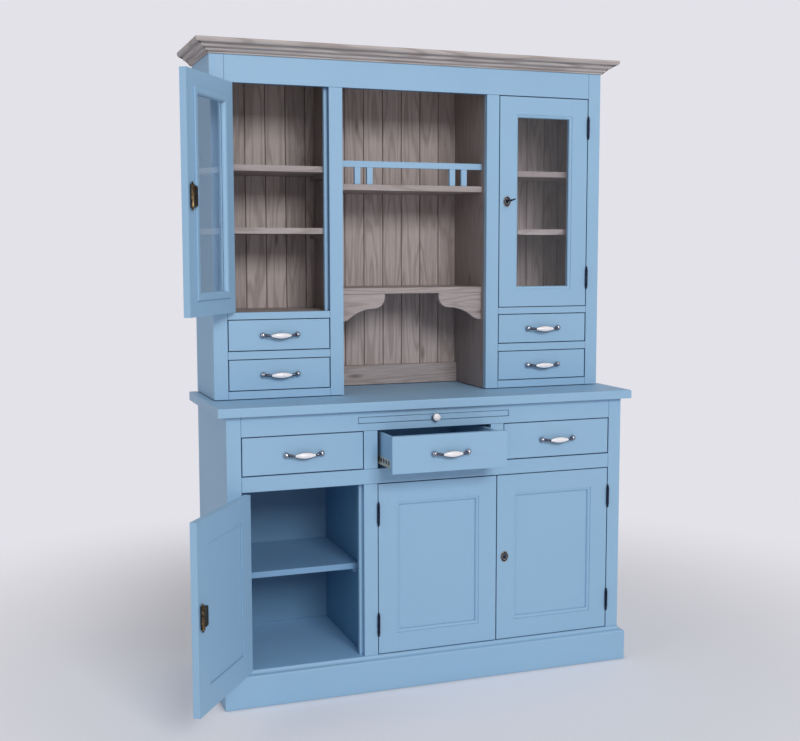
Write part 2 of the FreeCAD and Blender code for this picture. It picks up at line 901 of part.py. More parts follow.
def centre_shelves():
    """The two shelves of the open bay."""
    pieces = []
    for rise in (centre_shelf_low, centre_shelf_high):
        top = base_height + rise
        pieces.append(block((-centre_half, centre_half), (hutch_face + shelf_setback, hutch_back_face),
                            (top - shelf_thickness, top)))
    return pieces


def gallery_rail():
    """A low rail on square balusters along the front of the upper centre shelf."""
    shelf_top = base_height + centre_shelf_high
    front = hutch_face + shelf_setback + gallery_setback
    rail_under = shelf_top + gallery_height - gallery_rail_height
    rail = block((-centre_half, centre_half), (front, front + gallery_rail_thickness),
                 (rail_under, shelf_top + gallery_height))
    inset = (gallery_rail_thickness - baluster_thickness) / 2
    posts = []
    for place in baluster_places:
        posts.append(block((-place - baluster_width / 2, -place + baluster_width / 2),
                           (front + inset, front + inset + baluster_thickness),
                           (shelf_top, rail_under)))
    return [rail] + both_sides(posts)


def scroll_brackets():
    """Shaped brackets under the lower centre shelf: a round nose that sweeps down to the stile."""
    under = base_height + centre_shelf_low - shelf_thickness
    front = hutch_face + shelf_setback + bracket_setback
    angle = math.radians(bracket_sweep_angle)
    nose = bracket_nose_radius
    sweep = bracket_sweep_radius
    tail = (bracket_length - nose) / math.sin(angle) - sweep
    nose_middle = bracket_length - nose

    def section(x, drop):
        return Vector(-centre_half + x, front, under - drop)

    nose_low = bracket_end_drop + nose
    turn_x = nose_middle - sweep * math.sin(angle)
    turn_drop = nose_low + sweep * (1 - math.cos(angle))
    half = angle / 2
    sweep_through = (nose_middle - sweep * math.sin(half), nose_low + sweep * (1 - math.cos(half)))
    foot_drop = turn_drop + tail * (1 - math.cos(angle))
    tail_through = (tail * math.sin(half), foot_drop - tail * (1 - math.cos(half)))
    nose_through = (nose_middle + nose * quarter, bracket_end_drop + nose * quarter)
    steps = [
        (bracket_length, 0.0),
        (bracket_length, bracket_end_drop),
        (nose_through, (nose_middle, nose_low)),
        (sweep_through, (turn_x, turn_drop)),
        (tail_through, (0.0, foot_drop)),
    ]
    return both_sides([prism(section, (0.0, 0.0), steps, Vector(0, bracket_thickness, 0))])


def back_skirting():
    """The board along the foot of the back in the open bay."""
    return [block((-centre_half, centre_half), (hutch_back_face - skirting_thickness, hutch_back_face),
                  (hutch_foot, base_height + skirting_height))]


def finial_steps(sign):
    """The end of a hinge barrel from its shoulder to its tip, as radius and height."""
    shoulder = knuckle_height + hinge_shoulder
    ball_end = shoulder + hinge_ball_height
    tip = ball_end + hinge_tip_height
    return [
        (hinge_radius, sign * knuckle_height),
        (hinge_neck_radius, sign * shoulder),
        ((hinge_ball_radius, sign * (shoulder + ball_end) / 2), (hinge_neck_radius, sign * ball_end)),
        (hinge_tip_radius, sign * tip),
        (0.0, sign * tip),
    ]


def frame_hinge(edge, face, height):
    """The fixed half of a barrel hinge: lower knuckle, pin and the leaf on the stile."""
    axis = (edge + hinge_line_offset, face - hinge_line_stand)

    def section(radius, z):
        return Vector(axis[0] + radius, axis[1], height + z)

    steps = [(hinge_pin_radius, hinge_pin_length), (hinge_pin_radius, 0.0), (hinge_radius, 0.0)]
    barrel = turning(section, (0.0, hinge_pin_length), steps + finial_steps(-1),
                     section(0, 0), Vector(0, 0, 1))
    leaf = block((edge, edge + leaf_thickness), (axis[1], face + leaf_depth),
                 (height - knuckle_height, height - leaf_thickness))
    return barrel.fuse(leaf).removeSplitter()


def door_hinge(edge, face, height):
    """The moving half of a barrel hinge: bored upper knuckle and the leaf on the door."""
    axis = (edge + hinge_line_offset, face - hinge_line_stand)
    bore = hinge_pin_radius + hinge_pin_clearance
    bore_end = hinge_pin_length + hinge_pin_clearance

    def section(radius, z):
        return Vector(axis[0] + radius, axis[1], height + z)

    steps = [(hinge_radius, knuckle_clearance)] + finial_steps(1)
    steps += [(0.0, bore_end), (bore, bore_end)]
    barrel = turning(section, (bore, knuckle_clearance), steps, section(0, 0), Vector(0, 0, 1))
    leaf = block((edge + door_gap - leaf_thickness, edge + door_gap),
                 (axis[1] + hinge_radius - leaf_thickness, face + leaf_depth),
                 (height + leaf_thickness, height + knuckle_height))
    return barrel.fuse(leaf).removeSplitter()


def hinge_heights(low, high):
    """The two hinges of a door stand the same way in from the ends of its opening."""
    return (low + hinge_inset, high - hinge_inset)


def keyhole(x, y_span, z):
    """A round hole with a slot below it, through everything between two depths."""
    length = y_span[1] - y_span[0]
    hole = Part.makeCylinder(keyhole_radius, length, Vector(x, y_span[0], z), Vector(0, 1, 0))
    slot = block((x - keyhole_slot_width / 2, x + keyhole_slot_width / 2), y_span,
                 (z - keyhole_slot_length, z))
    return hole.fuse(slot)


def escutcheon(x, face, z):
    """An oval plate round the keyhole."""
    wire = Part.Ellipse(Vector(0, 0, 0), escutcheon_height / 2, escutcheon_width / 2).toShape()
    plate = Part.Face(Part.Wire([wire])).extrude(Vector(0, 0, escutcheon_thickness))
    plate.rotate(Vector(0, 0, 0), Vector(0, 0, 1), 90)
    plate.rotate(Vector(0, 0, 0), Vector(1, 0, 0), 90)
    plate.translate(Vector(x, face, z - keyhole_slot_length / 2 + keyhole_radius / 2))
    return plate.cut(keyhole(x, (face - escutcheon_thickness, face), z))


def bolt_span(edge):
    """The two ends of a drawn-back bolt, on a door whose free edge is at the right."""
    nose = edge - lock_edge_setback
    return (nose - bolt_length, nose)


def lock_case(edge, inside, z):
    """A lock on the door's inner face: chamfered case, half-round barrel, bolt way and key chamber."""
    right = edge - lock_edge_setback
    left = right - lock_case_width
    barrel_x = right - lock_barrel_radius
    half = lock_case_height / 2
    cut = lock_case_chamfer

    def flat(x, height):
        return Vector(x, inside, z + height)

    case = prism(flat, (left + cut, -half), [
        (barrel_x, -half), (barrel_x, half), (left + cut, half), (left, half - cut),
        (left, cut - half)], Vector(0, lock_case_thickness, 0))
    barrel_y = inside + lock_case_thickness - lock_barrel_radius * quarter
    barrel = Part.makeCylinder(lock_barrel_radius, lock_barrel_height,
                               Vector(barrel_x, barrel_y, z - lock_barrel_height / 2))
    for sign in (-1, 1):
        foot = Vector(barrel_x, barrel_y, z + sign * lock_barrel_height / 2)
        finial = Part.makeCone(lock_finial_radius, hinge_tip_radius, lock_finial_height, foot,
                               Vector(0, 0, sign))
        barrel = barrel.fuse(finial)
    behind = block((left, right), (inside - 2 * lock_barrel_radius, inside),
                   (z - lock_barrel_height, z + lock_barrel_height))
    case = case.fuse(barrel.cut(behind))
    tail, nose = bolt_span(edge)
    way = block((tail - bolt_clearance, nose),
                (inside + bolt_depth - bolt_clearance, inside + bolt_depth + bolt_thickness + bolt_clearance),
                (z + bolt_rise - bolt_clearance, z + bolt_rise + bolt_height + bolt_clearance))
    chamber = Part.makeCylinder(lock_chamber_radius, lock_chamber_depth,
                                Vector(edge - lock_backset, inside, z), Vector(0, 1, 0))
    return case.cut(way).cut(chamber).removeSplitter()


def lock_bolt(edge, inside, z):
    """A flat bolt, notched below where the key's bit turns."""
    key_x = edge - lock_backset
    depth = (inside + bolt_depth, inside + bolt_depth + bolt_thickness)
    bar = block(bolt_span(edge), depth, (z + bolt_rise, z + bolt_rise + bolt_height))
    notch = block((key_x - bolt_notch_end, key_x - bolt_notch_start), depth,
                  (z + bolt_rise, z + bolt_rise + bolt_notch_depth))
    return [bar.cut(notch)]


def lock_key(edge, face, z):
    """A key in the lock: a bow set at a tilt, collar, shaft and bit."""
    x = edge - lock_backset
    inside = face + frame_thickness
    start = face - key_reach
    shaft_end = inside + key_bit_start + key_bit_width
    back = Vector(0, 1, 0)
    shaft_start = start + key_bow_wall / 2
    shaft = Part.makeCylinder(key_shaft_radius, shaft_end - shaft_start, Vector(x, shaft_start, z), back)
    collar = Part.makeCylinder(key_collar_radius, key_collar_length,
                               Vector(x, face - key_collar_standoff - key_collar_length, z), back)
    bit = block((x - key_bit_length, x), (inside + key_bit_start, shaft_end),
                (z - key_bit_thickness / 2, z + key_bit_thickness / 2))
    centre = Vector(x, start - key_bow_length / 2 + key_bow_wall, z - key_bow_thickness / 2)
    upward = Vector(0, 0, key_bow_thickness)
    outer = Part.Ellipse(centre, key_bow_width / 2, key_bow_length / 2).toShape()
    inner = Part.Ellipse(centre, key_bow_width / 2 - key_bow_wall,
                         key_bow_length / 2 - key_bow_wall).toShape()
    bow = Part.Face(Part.Wire([outer])).extrude(upward)
    bow = bow.cut(Part.Face(Part.Wire([inner])).extrude(upward))
    bow.rotate(Vector(x, start, z), back, key_bow_tilt)
    key = shaft.fuse([collar, bit]).fuse(bow)
    return [key.removeSplitter().Solids[0]]


def door_frame(x_span, z_span, face, width, grooved):
    """Two stiles with two rails between them, grooved for a panel or left plain for glass.

    Behind a panel they reach as far in as the moulding that lies in a rebate in front of it.
    """
    left, right = x_span
    low, high = z_span
    depth = (face, face + frame_thickness)
    full = width + sticking_width if grooved else width
    members = [
        block((left, left + full), depth, z_span),
        block((right - full, right), depth, z_span),
        block((left + full, right - full), depth, (low, low + full)),
        block((left + full, right - full), depth, (high - full, high)),
    ]
    if not grooved:
        return members
    reach = width - panel_groove_depth
    groove = block((left + reach, right - reach),
                   (face + sticking_depth - panel_clearance,
                    face + sticking_depth + panel_thickness + panel_clearance),
                   (low + reach, high - reach))
    rebate = block((left + width, right - width), (face, face + sticking_depth),
                   (low + width, high - width))
    return [member.cut(groove).cut(rebate) for member in members]


def sticking(x_span, z_span, face):
    """The moulding round the front of a panel or pane: a quirk, a flat and an ovolo."""
    start = (0.0, face + sticking_quirk)
    toe = face + sticking_depth - sticking_toe
    flat_end = (sticking_flat, face + sticking_quirk)
    ovolo_end = (sticking_width, toe)
    through = (flat_end[0] + (ovolo_end[0] - flat_end[0]) * quarter,
               ovolo_end[1] - (ovolo_end[1] - flat_end[1]) * quarter)
    steps = [flat_end, (through, ovolo_end), (sticking_width, face + sticking_depth),
             (0.0, face + sticking_depth)]
    return ring(start, steps, x_span, z_span, (face, face + sticking_depth), sticking_width)


def glazing_beads(x_span, z_span, face):
    """Rounded beads that hold the pane from inside and lap over the face of the frame."""
    inside = face + frame_thickness
    seat = face + sticking_depth + glass_thickness
    crest = inside + bead_rise
    width = bead_lap + sticking_width
    shoulder = (width, seat + bead_shoulder)
    flat_end = (bead_lap + sticking_flat, crest)
    slope_through = (flat_end[0] + (shoulder[0] - flat_end[0]) * quarter,
                     shoulder[1] + (crest - shoulder[1]) * quarter)
    edge_through = (bead_round * (1 - quarter), crest - bead_round * (1 - quarter))
    steps = [(width, seat), shoulder, (slope_through, flat_end), (bead_round, crest),
             (edge_through, (0.0, crest - bead_round)), (0.0, inside), (bead_lap, inside)]
    lapped_x = (x_span[0] - bead_lap, x_span[1] + bead_lap)
    lapped_z = (z_span[0] - bead_lap, z_span[1] + bead_lap)
    return ring((bead_lap, seat), steps, lapped_x, lapped_z, (seat, crest), width)


def door(opening, z_span, face, width, glazed, locked):
    """The pieces of a closed door hung on its left edge: frame, pane, ironwork and bolt.

    The opening's right end is where the door's free edge is, less its gap.
    """
    left = opening[0] + door_gap
    right = opening[1]
    low = z_span[0] + door_gap
    high = z_span[1] - door_gap
    inside = face + frame_thickness
    lock_height = lock_level(z_span)
    inner_x = (left + width, right - width)
    inner_z = (low + width, high - width)
    pane_front = face + sticking_depth
    frame = door_frame((left, right), (low, high), face, width, not glazed)
    frame += sticking(inner_x, inner_z, face)
    if glazed:
        frame += glazing_beads(inner_x, inner_z, face)
        pane = block((inner_x[0] + glass_clearance, inner_x[1] - glass_clearance),
                     (pane_front, pane_front + glass_thickness),
                     (inner_z[0] + glass_clearance, inner_z[1] - glass_clearance))
    else:
        reach = panel_groove_depth - panel_clearance
        pane = block((inner_x[0] - reach, inner_x[1] + reach),
                     (pane_front, pane_front + panel_thickness),
                     (inner_z[0] - reach, inner_z[1] + reach))
    ironwork = [door_hinge(opening[0], face, z) for z in hinge_heights(*z_span)]
    bolt = []
    if locked:
        hole = keyhole(right - lock_backset, (face, inside), lock_height)
        frame[1] = frame[1].cut(hole)
        ironwork.append(escutcheon(right - lock_backset, face, lock_height))
        ironwork.append(lock_case(right, inside, lock_height))
        bolt = lock_bolt(right, inside, lock_height)
    return {"frame": frame, "pane": [pane], "ironwork": ironwork, "bolt": bolt}


lower_span = (floor_top, door_head)
upper_span = (cupboard_sill, cupboard_head)
lower_left_opening = (-opening_half, base_openings[0] + base_opening_width - door_gap)
lower_middle_opening = (base_openings[1], door_meeting - meeting_gap / 2)
lower_right_opening = (-opening_half, -door_meeting - meeting_gap / 2)
upper_opening = (-opening_half, side_bay_inner - door_gap)


def hinge_point(edge, face):
    """X and Y of a door's hinge line, for a door hung on its left edge."""
    return (edge + hinge_line_offset, face - hinge_line_stand)


def hinge_frame_halves():
    """The fixed halves of all the barrel hinges, on the stiles."""
    lower = [frame_hinge(-opening_half, base_face, z) for z in hinge_heights(*lower_span)]
    upper = [frame_hinge(-opening_half, hutch_face, z) for z in hinge_heights(*upper_span)]
    middle = [frame_hinge(base_openings[1], base_face, z) for z in hinge_heights(*lower_span)]
    return both_sides(lower + upper) + middle


def drawer_box(x_span, face, low, front_span, sizes):
    """A drawer: eased front, two sides, a back between them and a bottom inside."""
    length, front_thickness, side_thickness, high = sizes
    front_x, front_z = front_span
    front = rounded_front(block(front_x, (face, face + front_thickness), front_z), drawer_front_radius)
    start = face + front_thickness
    end = start + length
    left, right = x_span
    inner = (left + side_thickness, right - side_thickness)
    bottom_low = low + drawer_bottom_rise
    bottom_top = bottom_low + drawer_bottom_thickness
    return [
        front,
        block((left, left + side_thickness), (start, end), (low, high)),
        block((right - side_thickness, right), (start, end), (low, high)),
        block(inner, (end - side_thickness, end), (low, high)),
        block(inner, (start, end - side_thickness), (bottom_low, bottom_top)),
    ]


def base_drawer(left):
    """A wide drawer, set in flush, hung on roller slides."""
    right = left + base_opening_width
    front = ((left + door_gap, right - door_gap), (drawer_sill + door_gap, drawer_head - door_gap))
    sizes = (base_drawer_length, drawer_front_thickness, drawer_side_thickness,
             drawer_head - drawer_top_gap)
    return drawer_box((left + slide_space, right - slide_space), base_face,
                      drawer_sill + base_drawer_rise, front, sizes)


def small_drawer(sill):
    """A small drawer of the left bay of the hutch, set in flush."""
    left = -opening_half
    right = side_bay_inner
    head = sill + small_drawer_opening
    front = ((left + door_gap, right - door_gap), (sill + door_gap, head - door_gap))
    sizes = (small_drawer_length, small_drawer_front_thickness, small_drawer_side_thickness,
             head - drawer_top_gap)
    return drawer_box((left + small_drawer_side_clearance, right - small_drawer_side_clearance),
                      hutch_face, sill + small_drawer_run_clearance, front, sizes)


def handle(x, face, z):
    """A bow handle: two ball feet with tapered arms, and a half-round porcelain grip between them."""
    half = handle_grip_length / 2
    axis_y = face - handle_grip_stand

    def grip_section(along, radius):
        return Vector(x + along, axis_y, z + radius)

    spindle = turning(grip_section, (-half, 0.0), [
        (-half, handle_grip_end_radius),
        ((0.0, handle_grip_radius), (half, handle_grip_end_radius)), (half, 0.0)],
        grip_section(0, 0), Vector(1, 0, 0))
    behind = block((x - half, x + half), (axis_y + handle_grip_back, face),
                   (z - handle_grip_radius, z + handle_grip_radius))
    grip = spindle.cut(behind)
    door_side = block((x - handle_centres, x + handle_centres), (face, face + handle_ball_radius),
                      (z - handle_ball_radius, z + handle_ball_radius))
    castings = []
    for side in (-1, 1):
        foot = Vector(x + side * handle_centres / 2, face - handle_ball_stand, z)
        ball = Part.makeSphere(handle_ball_radius, foot).cut(door_side)
        direction = Vector(x + side * half, axis_y, z) - foot
        arm = Part.makeCone(handle_arm_radius, handle_arm_tip_radius, direction.Length, foot, direction)
        castings.append(ball.fuse(arm.cut(grip)).removeSplitter())
    return castings + [grip]


def pull_board():
    """The sliding board that comes out of the slot in the top rail."""
    half = pull_board_width / 2
    board = block((-half, half), (base_face, base_face + pull_board_length),
                  (pull_board_under, pull_board_top))
    return [rounded_front(board, drawer_front_radius)]


def pull_knob():
    """A round porcelain knob on a metal stem with a small rose."""
    z = (pull_board_under + pull_board_top) / 2

    def section(radius, stand):
        return Vector(radius, base_face - stand, z)

    centre = section(0, 0)
    out = Vector(0, -1, 0)
    head_foot = knob_stem_length
    crown = head_foot + knob_head_length
    middle = head_foot + knob_head_length / 2
    stem = turning(section, (0.0, 0.0), [
        (knob_plate_radius, 0.0), (knob_plate_radius, knob_plate_thickness),
        (knob_stem_radius, knob_plate_thickness + knob_stem_radius / 2),
        (knob_stem_radius, head_foot), (0.0, head_foot)], centre, out)
    shoulder_through = (knob_radius - (knob_radius - knob_edge_radius) * (1 - quarter),
                        middle - (middle - head_foot) * quarter)
    dome = crown - middle
    dome_radius = (knob_radius ** 2 + dome ** 2) / (2 * dome)
    dome_half = math.asin(knob_radius / dome_radius) / 2
    crown_through = (dome_radius * math.sin(dome_half),
                     crown - dome_radius * (1 - math.cos(dome_half)))
    head = turning(section, (0.0, head_foot), [
        (knob_edge_radius, head_foot), (shoulder_through, (knob_radius, middle)),
        (crown_through, (0.0, crown))], centre, out)
    return [stem, head]


def carcass_nodes():
    """Everything that stands still."""
    return {
        "base_uprights": base_uprights(),
        "base_decks": base_decks(),
        "base_back_panel": base_back_panel(),
        "base_face_frame": base_face_frame(),
        "slotted_top_rail": slotted_top_rail(),
        "top_board": top_board(),
        "plinth_skirting": plinth_skirting(),
        "plinth_bearers": plinth_bearers(),
        "wooden_runners": wooden_runners(),
        "cabinet_slides": cabinet_slides(),
        "base_shelves": base_shelves(),
        "shelf_cleats": shelf_cleats(),
        "door_stops": door_stops(),
        "hutch_uprights": hutch_uprights(),
        "hutch_top_panel": hutch_top_panel(),
        "hutch_back_boards": hutch_back_boards(),
        "hutch_face_frame": hutch_face_frame(),
        "cornice": cornice(),
        "cupboard_shelves": cupboard_shelves(),
        "centre_shelves": centre_shelves(),
        "gallery_rail": gallery_rail(),
        "scroll_brackets": scroll_brackets(),
        "back_skirting": back_skirting(),
        "hinge_frame_halves": hinge_frame_halves(),
    }


def door_nodes():
    """Five doors, the left ones swung open, with the key in the upper right one."""
    upper = door(upper_opening, upper_span, hutch_face, upper_frame_width, True, True)
    lower_left = door(lower_left_opening, lower_span, base_face, lower_frame_width, False, True)
    lower_middle = door(lower_middle_opening, lower_span, base_face, lower_frame_width, False, False)
    lower_right = door(lower_right_opening, lower_span, base_face, lower_frame_width, False, True)
    upper_hinge = hinge_point(-opening_half, hutch_face)
    lower_hinge = hinge_point(-opening_half, base_face)
    nodes = {}
    for part, pieces in upper.items():
        nodes["upper_left_door_" + part] = swung(pieces, upper_hinge, -upper_left_open)
        nodes["upper_right_door_" + part] = mirrored(pieces)
    for part, pieces in lower_left.items():
        nodes["lower_left_door_" + part] = swung(pieces, lower_hinge, -lower_left_open)
    for part, pieces in lower_right.items():
        nodes["lower_right_door_" + part] = mirrored(pieces)
    for part in ("frame", "pane", "ironwork"):
        nodes["lower_middle_door_" + part] = lower_middle[part]
    for place in ("lower_left", "lower_middle", "lower_right"):
        nodes[place + "_door_frame"] += nodes.pop(place + "_door_pane")
    nodes["upper_right_key"] = mirrored(lock_key(upper_opening[1], hutch_face, lock_level(upper_span)))
    return nodes


def drawer_nodes():
    """Three base drawers, four small ones, their handles and the pull-out board."""
    nodes = {}
    base_handle = (drawer_sill + drawer_head) / 2
    for name, left in zip(("left", "middle", "right"), base_openings):
        pull = middle_drawer_pull if name == "middle" else 0.0
        slides = pair_across(drawer_slide(left), left, base_opening_width)
        grip = handle(left + base_opening_width / 2, base_face, base_handle)
        nodes["base_" + name + "_drawer"] = drawn_out(base_drawer(left), pull)
        nodes["base_" + name + "_drawer_slides"] = drawn_out(slides, pull)
        nodes["base_" + name + "_drawer_handle"] = drawn_out(grip, pull)
    bay_middle = (-opening_half + side_bay_inner) / 2
    for name, sill in zip(("lower", "upper"), small_sills):
        box = small_drawer(sill)
        grip = handle(bay_middle, hutch_face, sill + small_drawer_opening / 2)
        nodes["hutch_left_" + name + "_drawer"] = box
        nodes["hutch_left_" + name + "_drawer_handle"] = grip
        nodes["hutch_right_" + name + "_drawer"] = mirrored(box)
        nodes["hutch_right_" + name + "_drawer_handle"] = mirrored(grip)
    nodes["pull_out_board"] = pull_board()
    nodes["pull_out_board_knob"] = pull_knob()
    return nodes


def main():
    """Write every node as its own file."""
    os.makedirs("parts", exist_ok=True)
    nodes = {}
    nodes.update(carcass_nodes())
    nodes.update(door_nodes())
    nodes.update(drawer_nodes())
    for name, solids in nodes.items():
        shape = solids[0] if len(solids) == 1 else Part.makeCompound(solids)
        shape.exportStep("parts/" + name + ".step")
    print(len(nodes), "nodes,", sum(len(solids) for solids in nodes.values()), "solids")


if __name__ == "__main__":
    main()
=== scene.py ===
# %% [markdown]
# # A painted Welsh dresser
# The dresser is a base cupboard with a hutch on top. Its joinery comes in from the CAD model, piece
# by piece, in metres and already in place. This lesson gives the joinery its paint and its washed
# wood, and makes the small cast and turned fittings again as smooth surfaces.

# %% Load the joinery
import json
import math

import bpy
import numpy as np
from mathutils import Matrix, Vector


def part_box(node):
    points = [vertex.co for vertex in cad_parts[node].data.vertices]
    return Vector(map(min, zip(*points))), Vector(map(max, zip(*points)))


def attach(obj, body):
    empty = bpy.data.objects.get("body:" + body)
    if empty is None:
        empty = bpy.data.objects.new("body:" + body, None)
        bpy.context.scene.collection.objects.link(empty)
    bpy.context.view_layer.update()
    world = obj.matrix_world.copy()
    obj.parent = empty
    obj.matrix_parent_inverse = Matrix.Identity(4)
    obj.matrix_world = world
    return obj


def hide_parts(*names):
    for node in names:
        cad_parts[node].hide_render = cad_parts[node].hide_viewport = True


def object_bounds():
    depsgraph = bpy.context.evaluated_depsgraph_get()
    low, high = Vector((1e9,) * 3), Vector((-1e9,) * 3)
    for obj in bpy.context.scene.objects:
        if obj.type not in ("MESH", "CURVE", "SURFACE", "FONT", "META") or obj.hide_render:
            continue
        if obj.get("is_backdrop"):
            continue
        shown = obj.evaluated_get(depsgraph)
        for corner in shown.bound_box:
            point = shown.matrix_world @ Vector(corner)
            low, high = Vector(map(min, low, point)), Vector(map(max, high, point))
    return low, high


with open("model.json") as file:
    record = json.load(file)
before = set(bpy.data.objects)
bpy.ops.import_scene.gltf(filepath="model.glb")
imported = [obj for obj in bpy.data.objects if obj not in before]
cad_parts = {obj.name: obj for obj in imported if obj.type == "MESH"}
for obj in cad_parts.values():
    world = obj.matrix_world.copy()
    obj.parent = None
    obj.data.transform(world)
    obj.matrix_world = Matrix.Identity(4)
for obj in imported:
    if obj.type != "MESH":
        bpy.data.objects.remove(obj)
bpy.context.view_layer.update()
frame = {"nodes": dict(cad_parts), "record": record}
nodes = frame["nodes"]
MM = 0.001
X, Y, Z = 0, 1, 2

# %% [markdown]
# ## Helpers for finishes
# Paint charts give colours as sRGB, while shaders count light, so one function turns a hex colour
# to linear light. A second one adds a shader node: what is given for an input is either a plain
# value or another node's output, and it is set or linked accordingly. A Mix node for colours takes
# its share at input 0 and the two colours at inputs 6 and 7, and its output 2 is the mixed colour.

# %% Colour and node helpers
def linear(hex_colour):
    """A hex colour in sRGB as linear light: each channel is undone from the sRGB curve."""
    code = hex_colour.lstrip("#")
    srgb = np.array([int(code[i:i + 2], 16) for i in (0, 2, 4)]) / 255
    light = np.where(srgb <= 0.04045, srgb / 12.92, ((srgb + 0.055) / 1.055) ** 2.4)
    return (*light.tolist(), 1.0)


def feed(tree, node, inputs):
    """Gives inputs of a node their values; another node's output is linked instead."""
    for name, value in inputs.items():
        if isinstance(value, bpy.types.NodeSocket):
            tree.links.new(value, node.inputs[name])
        else:
            node.inputs[name].default_value = value


def add(tree, kind, inputs=None, **settings):
    """Adds one shader node with its settings, and feeds its inputs."""
    node = tree.nodes.new("ShaderNode" + kind)
    for name, value in settings.items():
        setattr(node, name, value)
    feed(tree, node, inputs or {})
    return node


def new_material(name):
    """A new material with an output and one Principled shader; gives all but the output."""
    material = bpy.data.materials.new(name)
    material.use_nodes = True
    tree = material.node_tree
    tree.nodes.clear()
    shader = add(tree, "BsdfPrincipled")
    add(tree, "OutputMaterial", {"Surface": shader.outputs["BSDF"]})
    return material, tree, shader


def set_surface(tree, surface):
    """Links a shader to the material's output, in place of the one that was there."""
    output = next(node for node in tree.nodes if node.type == "OUTPUT_MATERIAL")
    feed(tree, output, {"Surface": surface})


print("middle grey in linear light:", [round(v, 3) for v in linear("#808080")[:3]])

# %% [markdown]
# ## Marks that paint and wood share
# Brush strokes and wood grain are both long and thin, so both start from a noise that is drawn out
# along one axis. Narrow gaps and grooves get painted shade: the Ambient Occlusion node tells how
# much of the sky a point sees within a few millimetres, which is little inside a gap, and there the
# colour is darkened. The edges of sanded wood are never sharp, and the Bevel node rounds them over
# for the light.

# %% Long noise, painted shade in gaps and eased edges
EASED_EDGE = 0.7 * MM
GAP_REACH = 6.0 * MM
DEEP_GAP = 0.12  # the share of the sky that is left where a gap is darkest


def stretched_noise(tree, place, across, along, axis, detail, seed):
    """Noise on Object coordinates, one cell 'across' wide and 'along' long in the given axis."""
    scale = [1 / across] * 3
    scale[axis] = 1 / along
    shift = (seed, seed * 2, seed * 3)
    cells = add(tree, "Mapping", {"Vector": place, "Scale": scale, "Location": shift}).outputs[0]
    return add(tree, "TexNoise", {"Vector": cells, "Scale": 1.0, "Detail": detail}).outputs[0]


def painted_gap_shade(tree, colour, shade, share, open_at, reach=GAP_REACH):
    """Painted shade: mixes the colour towards 'shade' where less sky than 'open_at' is seen."""
    open_sky = add(tree, "AmbientOcclusion", {"Distance": reach}, samples=6).outputs["AO"]
    hemmed = add(tree, "MapRange", {"Value": open_sky, "From Min": DEEP_GAP, "From Max": open_at,
                                    "To Min": share, "To Max": 0.0}).outputs[0]
    return add(tree, "Mix", {0: hemmed, 6: colour, 7: linear(shade)}, data_type="RGBA").outputs[2]


def eased_and_marked(tree, height, strength, depth):
    """The surface's direction, rounded over at its edges, with the marks of a height on it."""
    eased = add(tree, "Bevel", {"Radius": EASED_EDGE}, samples=4).outputs[0]
    return add(tree, "Bump", {"Height": height, "Strength": strength, "Distance": depth,
                              "Normal": eased}).outputs[0]


print("gaps are shaded within", GAP_REACH / MM, "mm, edges eased by", EASED_EDGE / MM, "mm")

# %% [markdown]
# ## Satin paint
# The frames, doors and drawers are brushed with satin paint. To the eye it is an even pale blue
# with a soft sheen, faint brush marks that run with the wood, and a thin dark crack where a rail
# meets a stile. A face frame is one piece, so its cracks are drawn: a point is on one if a
# coordinate is near the joint's place, and another coordinate is within the joint's length.

# %% Cracks at the joints
CRACK, CRACK_SHARE, HALF_CRACK = "#3A5E86", 0.75, 1.0 * MM


def joint_lines(tree, place, lines):
    """How much of a crack a point is on; each line is (axis, place, limit axis, limit)."""
    xyz = add(tree, "SeparateXYZ", {0: place})
    total = None
    for axis, at, limit_axis, limit in lines:
        side = add(tree, "Math", {0: xyz.outputs[axis]}, operation="ABSOLUTE").outputs[0]
        near = add(tree, "Math", {0: side, 1: at, 2: HALF_CRACK}, operation="COMPARE").outputs[0]
        reach = add(tree, "Math", {0: xyz.outputs[limit_axis]}, operation="ABSOLUTE").outputs[0]
        inside = add(tree, "Math", {0: reach, 1: limit}, operation="LESS_THAN").outputs[0]
        line = add(tree, "Math", {0: near, 1: inside}, operation="MULTIPLY").outputs[0]
        if total is not None:
            line = add(tree, "Math", {0: total, 1: line}, operation="MAXIMUM").outputs[0]
        total = line
    return add(tree, "Math", {0: total, 1: CRACK_SHARE}, operation="MULTIPLY").outputs[0]


print("cracks are", 2 * HALF_CRACK / MM, "mm wide")

# %% [markdown]
# Real bristles mark the paint every half millimetre, which is too fine for the picture, so they are
# drawn six times as coarse. Broad faint clouds of tone show where the coat is thicker.

# %% Satin paint
BRUSH_WIDTH, BRUSH_LENGTH = 3.0 * MM, 180.0 * MM
CLOUD_WIDTH, CLOUD_LENGTH = 300.0 * MM, 450.0 * MM
# painted shade: the dark blue that gaps and grooves in the paint are mixed towards
BLUE_GAP_SHADE = "#3A6796"


